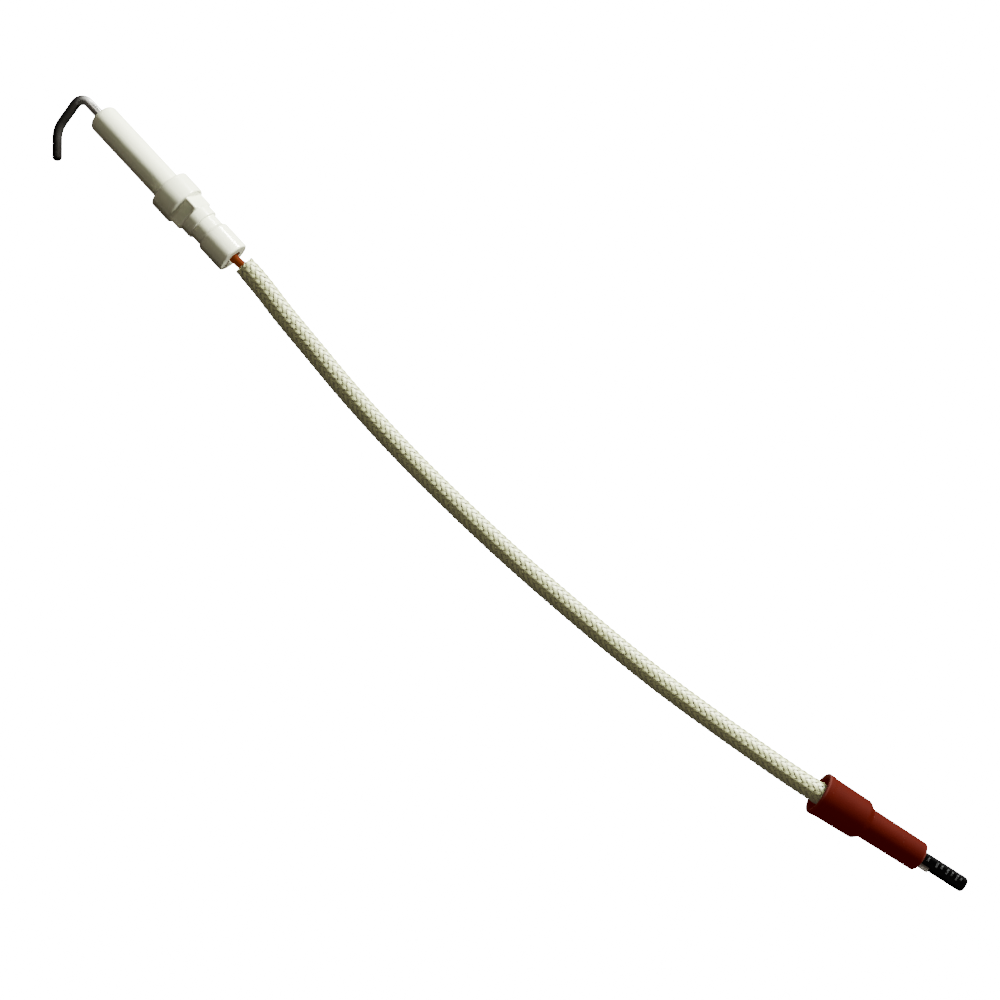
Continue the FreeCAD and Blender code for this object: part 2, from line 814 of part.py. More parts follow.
def check_document(parts):
    """Stop if any feature failed or any sub-part isn't a valid solid."""
    for item in document.Objects:
        if {"Invalid", "Error"} & set(item.State):
            raise RuntimeError(f"{item.Label} failed: {item.State}")
    for part in parts:
        shape = part.Shape
        if shape.isNull() or not shape.isValid() or not shape.Solids:
            raise RuntimeError(f"{part.Label} has no valid solid")
        print(f"{part.Label}: {len(shape.Solids)} solid, {shape.Volume:.1f} mm3")


parts = [
    make_electrode_rod(),
    make_ceramic_insulator(),
    make_rod_cement(),
    make_joint_ferrule(),
    make_rear_seal(),
    *make_lead(),
    make_receptacle_terminal(),
    make_heat_shrink_tube(),
    make_silicone_boot(),
]
document.recompute()
check_document(parts)
os.makedirs("parts", exist_ok=True)
for part in parts:
    part.Shape.exportStep(os.path.join("parts", f"{part.Label}.step"))
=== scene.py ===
"""Ignition electrode: the looks of the part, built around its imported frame.

Everything is in metres in the frame's own axes: the origin is the centre of the
collar's front face, +X runs towards the hook and +Z is up.
"""
import json
import math

import bmesh
import bpy
from bpy.props import FloatProperty, FloatVectorProperty, IntProperty, PointerProperty
from bpy.types import Operator, Panel, PropertyGroup
from mathutils import Matrix, Vector


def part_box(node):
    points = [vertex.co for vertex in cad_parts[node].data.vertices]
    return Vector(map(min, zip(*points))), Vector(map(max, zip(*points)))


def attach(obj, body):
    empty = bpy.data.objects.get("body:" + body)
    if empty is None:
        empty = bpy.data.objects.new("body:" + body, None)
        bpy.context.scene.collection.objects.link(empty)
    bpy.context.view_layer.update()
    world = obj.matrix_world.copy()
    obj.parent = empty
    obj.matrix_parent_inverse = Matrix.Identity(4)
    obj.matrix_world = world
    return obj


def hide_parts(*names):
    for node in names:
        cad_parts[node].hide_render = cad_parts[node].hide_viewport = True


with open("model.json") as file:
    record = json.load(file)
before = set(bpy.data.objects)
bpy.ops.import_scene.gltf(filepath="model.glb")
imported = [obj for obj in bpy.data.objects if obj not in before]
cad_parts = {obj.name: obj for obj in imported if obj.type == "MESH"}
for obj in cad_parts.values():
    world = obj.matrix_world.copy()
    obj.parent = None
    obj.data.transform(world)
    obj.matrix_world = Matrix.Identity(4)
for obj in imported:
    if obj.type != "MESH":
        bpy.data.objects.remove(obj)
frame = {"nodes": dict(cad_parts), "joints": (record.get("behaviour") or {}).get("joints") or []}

bl_info = {
    "name": "Ignition electrode",
    "version": (1, 0, 0),
    "blender": (4, 5, 0),
    "location": "3D View > Sidebar > Electrode",
    "description": "Builds a boiler ignition electrode with its sleeved lead and boot",
    "category": "Add Mesh",
}

MM = 0.001
UP = Vector((0, 0, 1))

# The frame before anything is added: its box, and where its pieces lie.
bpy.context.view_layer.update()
INSULATOR_LOW, INSULATOR_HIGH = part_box("ceramic_insulator")
FLOOR_HEIGHT = INSULATOR_LOW.z
OBJECT_MIDDLE = Vector((-0.104, -0.005, 0.0))
ROOT = "electrode_and_lead"
BOOT = "boot"

# The boot's own axis: distances along it are measured from its mouth.
BOOT_JOINT = next(joint for joint in frame["joints"] if joint["name"] == "boot_slide")
BOOT_AXIS = Vector(BOOT_JOINT["axis"]).normalized()
BOOT_SIDE = UP.cross(BOOT_AXIS)
BOOT_MOUTH = Vector((-0.2029, -0.0147, 0.0))
BOOT_LENGTH = 27.6 * MM

# The lead's centre line, from inside the insulator to the crimped terminal.
LEAD_FRONT = (-0.0133, 0.0, 0.0)
LEAD_EXIT_ROUTE = [
    (-0.0227, 0.0, 0.0),
    (-0.0256, -0.0007, -0.0009),
]
SLEEVED_ROUTE = [
    (-0.0301, -0.00055, -0.0019),
    (-0.0376, 0.00035, -0.00245),
    (-0.0481, 0.0009, -0.00255),
    (-0.0621, 0.00175, -0.00255),
    (-0.0786, 0.00195, -0.00255),
    (-0.0941, 0.00145, -0.00255),
    (-0.1116, 0.00035, -0.00255),
    (-0.1271, -0.00115, -0.00255),
    (-0.1451, -0.0033, -0.00255),
    (-0.1606, -0.00555, -0.00255),
    (-0.1751, -0.00835, -0.00255),
    (-0.1866, -0.01075, -0.00225),
    (-0.1966, -0.0130, -0.0011),
    (-0.2046, -0.01512, -0.00025),
]
SLEEVE_FRONT = (-0.0245, -0.0007, -0.00075)
WIRE_FRONT = (-0.0104, 0.0, 0.0)
# Distances from the boot's mouth, along its axis.
SLEEVE_END_AT = 7.0 * MM
LEAD_LEVEL_AT = 12.0 * MM
LEAD_END_AT = 21.0 * MM
WIRE_END_AT = 25.2 * MM

# How a rounded corner is drawn: its steps, how much of a run it may take, and how
# far before and after it a point keeps the flat's own shading.
ARC_STEPS = 5
LONGEST_REACH = 0.45
STAND_OFF = 1.1
ROUTE_RESOLUTION = 16
SHARP_ANGLE = math.radians(42)


# --- Geometry shared by several pieces -------------------------------------------


def beside_boot(along, side=0.0, height=0.0):
    """Give the point at a distance from the boot's mouth and beside its axis."""
    return BOOT_MOUTH + BOOT_AXIS * along + BOOT_SIDE * side + UP * height


def on_insulator(along, side, height):
    """Place a point given beside the insulator's axis."""
    return Vector((along, side, height))


def link_piece(name, data, material=None):
    """Add an object to the scene at the origin and give it its material."""
    piece = bpy.data.objects.new(name, data)
    bpy.context.scene.collection.objects.link(piece)
    if material is not None:
        data.materials.clear()
        data.materials.append(material)
    if isinstance(data, bpy.types.Mesh):
        data.polygons.foreach_set("use_smooth", [True] * len(data.polygons))
        data.set_sharp_from_angle(angle=SHARP_ANGLE)
    return piece


def finish_mesh(name, bm, material=None):
    """Turn a bmesh into a linked object with outward, smooth faces."""
    bmesh.ops.remove_doubles(bm, verts=bm.verts, dist=1e-8)
    bmesh.ops.recalc_face_normals(bm, faces=bm.faces)
    mesh = bpy.data.meshes.new(name)
    bm.to_mesh(mesh)
    bm.free()
    return link_piece(name, mesh, material)


def ring_piece(name, rings, material=None, closed=True):
    """Make a piece from the rings of its surface."""
    bm = bmesh.new()
    add_ring_surface(bm, rings, closed)
    return finish_mesh(name, bm, material)


def baked_piece(name, piece):
    """Replace an object that has live modifiers by the plain mesh that they make."""
    graph = bpy.context.evaluated_depsgraph_get()
    evaluated = piece.evaluated_get(graph)
    mesh = bpy.data.meshes.new_from_object(evaluated, depsgraph=graph)
    mesh.name = name
    bpy.data.objects.remove(piece)
    return link_piece(name, mesh)


def round_corners(corners, closed=True, steps=ARC_STEPS):
    """Round an outline's corners, each (a, b, radius), with a fixed count of points."""
    points = []
    last = len(corners) - 1
    for index, (a, b, radius) in enumerate(corners):
        here = Vector((a, b))
        if radius == 0 or (not closed and index in (0, last)):
            points.append(here)
            continue
        back = Vector(corners[index - 1][:2]) - here
        ahead = Vector(corners[(index + 1) % len(corners)][:2]) - here
        half_turn = (math.pi - back.angle(ahead)) / 2
        longest = LONGEST_REACH * min(back.length, ahead.length)
        reach = min(radius * math.tan(half_turn), longest)
        start = here + back.normalized() * reach
        end = here + ahead.normalized() * reach
        weight = math.cos(half_turn)
        points.append(here + back.normalized() * reach * STAND_OFF)
        for step in range(steps + 1):
            t = step / steps
            pull = 2 * weight * t * (1 - t)
            arc_point = start * (1 - t) ** 2 + here * pull + end * t**2
            points.append(arc_point / ((1 - t) ** 2 + pull + t**2))
        points.append(here + ahead.normalized() * reach * STAND_OFF)
    return points


def add_ring_surface(bm, rings, closed=False):
    """Join rings of points, each one closed, into a surface; cap it unless closed."""
    loops = [[bm.verts.new(point) for point in ring] for ring in rings]
    pairs = list(zip(loops, loops[1:]))
    if closed:
        pairs.append((loops[-1], loops[0]))
    for near, far in pairs:
        for index in range(len(near)):
            following = (index + 1) % len(near)
            bm.faces.new((near[index], near[following], far[following], far[index]))
    if not closed:
        bm.faces.new(loops[0])
        bm.faces.new(reversed(loops[-1]))


def turned_rings(outline_at, place, segments):
    """Spin an outline of (along, radius) points that may change with the angle."""
    angles = [2 * math.pi * n / segments for n in range(segments)]
    turns = [(angle, outline_at(angle)) for angle in angles]
    rings = []
    for station in range(len(turns[0][1])):
        ring = []
        for angle, outline in turns:
            along, radius = outline[station]
            ring.append(place(along, radius * math.sin(angle), radius * math.cos(angle)))
        rings.append(ring)
    return rings


def heading_at(path, index):
    """Give the direction in which a path runs at one of its points."""
    return (path[min(index + 1, len(path) - 1)] - path[max(index - 1, 0)]).normalized()


def tube_rings(path, radii, sides):
    """Give the rings of a round tube along a path, one radius for each point."""
    rings = []
    for index, (centre, radius) in enumerate(zip(path, radii)):
        heading = heading_at(path, index)
        side = heading.cross(UP).normalized()
        top = side.cross(heading)
        ring = []
        for step in range(sides):
            angle = 2 * math.pi * step / sides
            ring.append(centre + (side * math.cos(angle) + top * math.sin(angle)) * radius)
        rings.append(ring)
    return rings


def arc(centre, radius, start, end, steps=12):
    """Give the points of an arc, its angles counted from the side towards the top."""
    points = []
    for step in range(steps + 1):
        angle = math.radians(start + (end - start) * step / steps)
        spoke = Vector((math.cos(angle), math.sin(angle))) * radius
        points.append(Vector(centre) + spoke)
    return points


def strip_outline(path, thickness):
    """Give the closed outline of a strip of sheet metal bent along a path."""
    left = []
    right = []
    for index, point in enumerate(path):
        heading = heading_at(path, index)
        across = Vector((-heading.y, heading.x)) * thickness / 2
        left.append(point + across)
        right.append(point - across)
    return left + right[::-1]


def bar_rings(outline, start, end):
    """Draw a closed outline out along the boot's axis, from one distance to another."""
    return [[beside_boot(along, *point) for point in outline] for along in (start, end)]


def smooth_route(name, points):
    """Make a smooth open curve with a route's points as its control points."""
    curve = bpy.data.curves.new(name, "CURVE")
    curve.dimensions = "3D"
    spline = curve.splines.new("NURBS")
    spline.points.add(len(points) - 1)
    for point, place in zip(spline.points, points):
        point.co = (*place, 1.0)
    spline.order_u = 3
    spline.use_endpoint_u = True
    curve.resolution_u = ROUTE_RESOLUTION
    return link_piece(name, curve)


def route_points(route):
    """Read the points along a route's smooth curve."""
    mesh = bpy.data.meshes.new_from_object(route)
    points = [vertex.co.copy() for vertex in mesh.vertices]
    bpy.data.meshes.remove(mesh)
    return points


# --- Node trees ---------------------------------------------------------------------


def add_socket(tree, name, kind, default=None, output=False):
    """Add a named input or output to a node group."""
    direction = "OUTPUT" if output else "INPUT"
    kind = "NodeSocket" + kind
    socket = tree.interface.new_socket(name=name, in_out=direction, socket_type=kind)
    if default is not None:
        socket.default_value = default


SHARED = {}


def shared(build):
    """Build a node tree the first time that it is asked for, and keep it."""
    if build not in SHARED:
        SHARED[build] = build()
    return SHARED[build]


def tone(colour, share=1.0):
    """Give a colour, darkened to a share of itself, with its alpha."""
    return (*(Vector(colour) * share), 1)


class NodeBench:
    """Adds nodes to one tree and joins them."""

    def __init__(self, tree):
        self.tree = tree

    def feed(self, socket, value):
        """Join another socket to this one, or set its value."""
        if isinstance(value, bpy.types.NodeSocket):
            self.tree.links.new(value, socket)
        else:
            socket.default_value = value

    def add(self, kind, feeds=None, **settings):
        """Add a node with its settings, and feed its inputs by name or number."""
        node = self.tree.nodes.new(kind)
        for name, value in settings.items():
            setattr(node, name, value)
        for key, value in (feeds or {}).items():
            self.feed(node.inputs[key], value)
        return node

    def math(self, operation, *values):
        """Add a Math node and give its output."""
        feeds = dict(enumerate(values))
        return self.add("ShaderNodeMath", feeds, operation=operation).outputs[0]

    def vector(self, operation, first, second):
        """Add a Vector Math node and give its output."""
        second_key = "Scale" if operation == "SCALE" else 1
        feeds = {0: first, second_key: second}
        node = self.add("ShaderNodeVectorMath", feeds, operation=operation)
        return node.outputs["Value" if operation == "DOT_PRODUCT" else "Vector"]

    def split(self, vector):
        """Give a vector's three numbers."""
        return self.add("ShaderNodeSeparateXYZ", {"Vector": vector}).outputs

    def mix(self, factor, first, second):
        """Add a colour Mix node and give its output."""
        feeds = {"Factor": factor, 6: first, 7: second}
        return self.add("ShaderNodeMix", feeds, data_type="RGBA").outputs[2]

    def spread(self, value, low, high, out_low=0.0, out_high=1.0):
        """Map a value's range to another, smoothly and clamped."""
        feeds = {0: value, 1: low, 2: high, 3: out_low, 4: out_high}
        node = self.add("ShaderNodeMapRange", feeds, interpolation_type="SMOOTHSTEP")
        return node.outputs[0]

    def noise(self, place, scale, detail=2.0, roughness=0.5):
        """Add a Noise Texture node and give its value."""
        feeds = {"Vector": place, "Scale": scale, "Detail": detail, "Roughness": roughness}
        return self.add("ShaderNodeTexNoise", feeds).outputs["Fac"]

    def place(self):
        """Give the surface's own place, which moves with the piece."""
        return self.add("ShaderNodeTexCoord").outputs["Object"]

    def reading(self):
        """Give the distance along a piece and across it, which its UV map holds."""
        return self.split(self.add("ShaderNodeUVMap", uv_map="UVMap").outputs["UV"])[:2]

    def group(self, build, feeds):
        """Place a shader group, with its own values."""
        return self.add("ShaderNodeGroup", feeds, node_tree=shared(build)).outputs

    def mottle(self, place, cloud_scale, grain_scale, dark, light):
        """Place the cloudy mottle, between two colours."""
        feeds = {"Vector": place, "Cloud Scale": cloud_scale, "Grain Scale": grain_scale}
        return self.group(mottle_group, {**feeds, "Dark Colour": dark, "Light Colour": light})

    def specks(self, place, scale, size, sparseness):
        """Place the scattered specks and give their mask."""
        feeds = {"Vector": place, "Scale": scale, "Speck Size": size, "Sparseness": sparseness}
        return self.group(specks_group, feeds)["Mask"]

    def filaments(self, along, across, count, waviness):
        """Place the parallel filaments."""
        feeds = {"Along": along, "Across": across, "Filaments": count, "Waviness": waviness}
        return self.group(filament_group, feeds)

    def bump(self, shader, height, strength, distance):
        """Raise the surface by a height, through a Bump node."""
        feeds = {"Height": height, "Strength": strength, "Distance": distance}
        self.feed(shader.inputs["Normal"], self.add("ShaderNodeBump", feeds).outputs["Normal"])


def new_shader_group(name, inputs, outputs):
    """Start a shader node group and give its bench, its inputs and its output node."""
    tree = bpy.data.node_groups.new(name, "ShaderNodeTree")
    for socket_name, kind, default in inputs:
        add_socket(tree, socket_name, kind, default)
    for socket_name, kind in outputs:
        add_socket(tree, socket_name, kind, output=True)
    bench = NodeBench(tree)
    return bench, bench.add("NodeGroupInput").outputs, bench.add("NodeGroupOutput").inputs


def mottle_group():
    """Build the cloudy change of colour and fine relief that most finishes have."""
    bench, given, out = new_shader_group(
        "Cloudy mottle",
        [
            ("Vector", "Vector", None),
            ("Cloud Scale", "Float", 80.0),
            ("Grain Scale", "Float", 900.0),
            ("Dark Colour", "Color", (0.1, 0.1, 0.1, 1)),
            ("Light Colour", "Color", (0.2, 0.2, 0.2, 1)),
        ],
        [("Color", "Color"), ("Cloud", "Float"), ("Height", "Float")],
    )
    clouds = bench.noise(given["Vector"], given["Cloud Scale"], detail=4.0)
    clouds = bench.spread(clouds, 0.3, 0.7)
    grains = bench.noise(given["Vector"], given["Grain Scale"], detail=3.0)
    cloud_share, grain_share = 0.7, 0.3
    share = bench.math("MULTIPLY", clouds, cloud_share)
    share = bench.math("MULTIPLY_ADD", grains, grain_share, share)
    bench.feed(out["Color"], bench.mix(share, given["Dark Colour"], given["Light Colour"]))
    bench.feed(out["Cloud"], clouds)
    bench.feed(out["Height"], grains)
    return bench.tree


def specks_group():
    """Build scattered small specks, such as dust, pinholes or scale."""
    bench, given, out = new_shader_group(
        "Scattered specks",
        [
            ("Vector", "Vector", None),
            ("Scale", "Float", 600.0),
            ("Speck Size", "Float", 0.2),
            ("Sparseness", "Float", 0.55),
        ],
        [("Mask", "Float")],
    )
    feeds = {"Vector": given["Vector"], "Scale": given["Scale"]}
    cells = bench.add("ShaderNodeTexVoronoi", feeds)
    specks_in_patch = 9.0
    patch_scale = bench.math("DIVIDE", given["Scale"], specks_in_patch)
    patches = bench.noise(given["Vector"], patch_scale)
    speck = bench.math("LESS_THAN", cells.outputs["Distance"], given["Speck Size"])
    patch = bench.math("GREATER_THAN", patches, given["Sparseness"])
    bench.feed(out["Mask"], bench.math("MULTIPLY", speck, patch))
    return bench.tree


def filament_group():
    """Build the fine parallel filaments that run along a yarn or a drawn wire."""
    bench, given, out = new_shader_group(
        "Parallel filaments",
        [
            ("Across", "Float", 0.0),
            ("Along", "Float", 0.0),
            ("Filaments", "Float", 9.0),
            ("Waviness", "Float", 400.0),
        ],
        [("Height", "Float"), ("Tone", "Float")],
    )
    along = bench.math("MULTIPLY", given["Along"], given["Waviness"])
    across = bench.math("MULTIPLY", given["Across"], given["Filaments"])
    place = bench.add("ShaderNodeCombineXYZ", {"X": along, "Y": across}).outputs[0]
    streaks = bench.noise(place, 1.0, roughness=0.6)
    bench.feed(out["Height"], streaks)
    bench.feed(out["Tone"], bench.spread(streaks, 0.35, 0.65))
    return bench.tree


# --- Finishes -------------------------------------------------------------------------


def new_material(name, **constants):
    """Start a material whose plain numbers are set on the shader's own sockets."""
    material = bpy.data.materials.new(name)
    material.use_nodes = True
    shader = material.node_tree.nodes["Principled BSDF"]
    for socket, value in constants.items():
        shader.inputs[socket.replace("_", " ")].default_value = value
    return material, NodeBench(material.node_tree), shader


def grainy_material(name, colour, darkest, scales, relief, **constants):
    """Make a finish that only mottles, between its colour and a darker share of it."""
    material, bench, shader = new_material(name, **constants)
    mottle = bench.mottle(bench.place(), *scales, dark=tone(colour, darkest), light=tone(colour))
    bench.feed(shader.inputs["Base Color"], mottle["Color"])
    bench.bump(shader, mottle["Height"], *relief)
    return material, bench, shader, mottle


def gap_shade_tube_material(colour):
    """A dark tube under the braid, seen only between the yarns: painted shade in the gaps."""
    scales = (150.0, 3600.0)
    return grainy_material(
        "braid_gap_shade", colour, 0.7, scales, relief=(0.5, 0.08 * MM), Roughness=0.7
    )[0]


def filler_material(name, colour, roughness):
    """Cement or potting: dull, grainy, a little uneven."""
    scales = (900.0, 5200.0)
    return grainy_material(
        name, colour, 0.7, scales, relief=(0.8, 0.12 * MM), Roughness=roughness
    )[0]


def plated_metal_material(name, colour, roughness):
    """Plated sheet metal: bright, with fine rolling marks and dull finger marks."""
    scales = (700.0, 5200.0)
    material, bench, shader, mottle = grainy_material(
        name, colour, 0.72, scales, relief=(0.25, 0.03 * MM), Metallic=1.0
    )
    finger_marks = 0.15
    dulled = bench.math("MULTIPLY_ADD", mottle["Cloud"], finger_marks, roughness)
    bench.feed(shader.inputs["Roughness"], dulled)
    return material


def glaze_material(colour):
    """White glaze over fired ceramic: hard, glossy, with faint waves and pinholes."""
    material, bench, shader = new_material(
        "glazed_ceramic", Roughness=0.16, Coat_Weight=0.35, Coat_Roughness=0.05, IOR=1.52
    )
    place = bench.place()
    mottle = bench.mottle(place, 160.0, 1500.0, dark=tone(colour, 0.93), light=tone(colour))
    pinholes = bench.specks(place, scale=500.0, size=0.09, sparseness=0.58)
    pinhole_colour, pinhole_share = (0.42, 0.36, 0.28, 1), 0.35
    share = bench.math("MULTIPLY", pinholes, pinhole_share)
    bench.feed(shader.inputs["Base Color"], bench.mix(share, mottle["Color"], pinhole_colour))
    waves = bench.noise(place, 260.0, detail=1.0)
    bench.bump(shader, waves, strength=0.35, distance=0.08 * MM)
    return material


def electrode_wire_material(scale_colour, bare_colour):
    """Heat-resistant wire: dark oxide scale, rubbed bare where it leaves the nose."""
    material, bench, shader = new_material("oxidised_wire", IOR=1.5, Specular_IOR_Level=0.1)
    place = bench.place()
    scale = bench.mottle(
        place, 420.0, 4200.0, dark=tone(scale_colour, 0.55), light=tone(scale_colour)
    )
    along, side, _ = bench.split(place)
    tip = INSULATOR_HIGH.x
    near_nose = bench.spread(along, tip + 2.5 * MM, tip + 6.4 * MM, 1.0, 0.0)
    before_bend = bench.spread(side, 1.0 * MM, 2.6 * MM, 1.0, 0.0)
    wear_and_rim_highlight = bench.math("MULTIPLY", near_nose, before_bend)
    drawn = bench.add("ShaderNodeMapping", {"Vector": place, "Scale": (120.0, 5200.0, 5200.0)})
    streaks = bench.noise(drawn.outputs[0], 1.0)
    bare = bench.math("MULTIPLY", wear_and_rim_highlight, bench.spread(streaks, 0.3, 0.6, 0.55, 1.0))
    bench.feed(shader.inputs["Base Color"], bench.mix(bare, scale["Color"], bare_colour))
    bench.feed(shader.inputs["Metallic"], bare)
    scale_roughness, smoother_where_bare = 0.6, -0.45
    rough = bench.math("MULTIPLY_ADD", scale["Cloud"], 0.1, scale_roughness)
    rough = bench.math("MULTIPLY_ADD", bare, smoother_where_bare, rough)
    bench.feed(shader.inputs["Roughness"], rough)
    relief = bench.math("MULTIPLY_ADD", streaks, 0.5, scale["Height"])
    bench.bump(shader, relief, strength=0.3, distance=0.04 * MM)
    return material


def silicone_material(name, tones, roughness, cloud_scale, unhighlighted_half=None):
    """Moulded or extruded silicone rubber: matt, faintly cloudy, with settled dust.

    A painted glow, a constant emission for light let through the rubber, lights its shaded side
    evenly.
    The boot has a painted highlight at both ends, beyond the half length that has none.
    """
    material, bench, shader = new_material(
        name, Roughness=roughness, IOR=1.4, Specular_IOR_Level=0.02, Emission_Strength=1.0
    )
    place = bench.place()
    dark, light = tone(tones.dark_colour), tone(tones.light_colour)
    mottle = bench.mottle(place, cloud_scale, 2600.0, dark, light)
    dust = bench.specks(place, scale=1100.0, size=0.1, sparseness=0.56)
    dust_colour, dust_share = (0.05, 0.025, 0.02, 1), 0.3
    seen = bench.mix(bench.math("MULTIPLY", dust, dust_share), mottle["Color"], dust_colour)
    # Painted highlight: the boot's rims at both ends are lightened, as where they catch the light.
    if unhighlighted_half is not None:
        offset = bench.vector("SUBTRACT", place, beside_boot(unhighlighted_half))
        reach = bench.math("ABSOLUTE", bench.vector("DOT_PRODUCT", offset, BOOT_AXIS))
        rim_highlight_colour, rim_highlight_share = (0.050, 0.016, 0.013, 1), 0.75
        start, full = unhighlighted_half - 0.6 * MM, unhighlighted_half - 0.1 * MM
        wear_and_rim_highlight = bench.spread(reach, start, full, 0.0, rim_highlight_share)
        seen = bench.mix(wear_and_rim_highlight, seen, rim_highlight_colour)
    bench.feed(shader.inputs["Base Color"], seen)
    # Painted glow: a constant emission that evenly lightens the shaded side.
    bench.feed(shader.inputs["Emission Color"], tone(tones.painted_glow_colour))
    bench.bump(shader, mottle["Height"], strength=0.3, distance=0.05 * MM)
    return material


def glass_yarn_material(colour, shadow_colour, painted_glow):
    """Glass-fibre yarn under a thin varnish: cream, silky, finely streaked.

    A painted glow, a constant emission for light let through the glass, lights the shaded side
    evenly. A yarn is streaked darker between its filaments, with painted shade along its two edges.
    """
    material, bench, shader = new_material(
        "glass_yarn",
        Roughness=0.45,
        Coat_Weight=0.2,
        Coat_Roughness=0.3,
        IOR=1.5,
        Emission_Strength=1.0,
    )
    along, across = bench.reading()
    filaments = bench.filaments(along, across, count=7.0, waviness=260.0)
    mottle = bench.mottle(
        bench.place(), 110.0, 1800.0, dark=tone(colour, 0.9), light=tone(colour)
    )
    between = bench.math("MULTIPLY_ADD", filaments["Tone"], -0.3, 0.3)
    # Painted shade along the yarn's two edges, where the yarns meet.
    edge = bench.spread(bench.math("ABSOLUTE", across), 0.12, 0.42, 0.0, 0.85)
    shaded = bench.math("MAXIMUM", between, edge)
    streaked = bench.mix(shaded, mottle["Color"], tone(shadow_colour))
    bench.feed(shader.inputs["Base Color"], streaked)
    # Painted glow: a constant emission that evenly lightens the shaded side.
    bench.feed(shader.inputs["Emission Color"], tone(painted_glow))
    bench.bump(shader, filaments["Height"], strength=0.45, distance=0.07 * MM)
    return material


def wire_material():
    """Tinned copper strands."""
    material, bench, shader = new_material("tinned_strands", Metallic=1.0, Roughness=0.32)
    along, across = bench.reading()
    filaments = bench.filaments(along, across, count=5.0, waviness=90.0)
    dull, bright = (0.5, 0.49, 0.47, 1), (0.74, 0.73, 0.7, 1)
    bench.feed(shader.inputs["Base Color"], bench.mix(filaments["Tone"], dull, bright))
    bench.bump(shader, filaments["Height"], strength=0.2, distance=0.03 * MM)
    return material


# Plain marks on the heat-shrink tube, in mm: start, centre beside the axis, width.
MARK_LENGTH = 0.45
SHRINK_MARKS = (
    (29.3, 0.75, 0.9),
    (31.6, 0.65, 1.3),
    (32.8, 0.85, 0.9),
    (34.4, 0.65, 1.3),
    (35.6, 0.85, 0.9),
    (37.0, 0.65, 1.3),
    (38.0, 0.85, 0.7),
)


def heat_shrink_material(colour, mark_colour):
    """Black shrunk polyolefin with a row of plain worn marks along its top."""
    material, bench, shader, mottle = grainy_material(
        "black_heat_shrink",
        colour,
        0.6,
        (500.0, 3800.0),
        relief=(0.4, 0.05 * MM),
        Roughness=0.6,
        IOR=1.4,
        Specular_IOR_Level=0.012,
    )
    along, side = bench.reading()
    ink = 0.0
    for start, centre, width in SHRINK_MARKS:
        middle = (start + MARK_LENGTH / 2) * MM
        inside_length = bench.math("COMPARE", along, middle, MARK_LENGTH / 2 * MM)
        inside_width = bench.math("COMPARE", side, centre * MM, width / 2 * MM)
        mark = bench.math("MULTIPLY", inside_length, inside_width)
        ink = bench.math("MAXIMUM", ink, mark)
    wear = bench.spread(bench.noise(bench.place(), 2600.0), 0.30, 0.50)
    ink = bench.math("MULTIPLY", ink, wear)
    bench.feed(shader.inputs["Base Color"], bench.mix(ink, mottle["Color"], tone(mark_colour)))
    return material


# --- Yarns and strands that follow a route -------------------------------------------


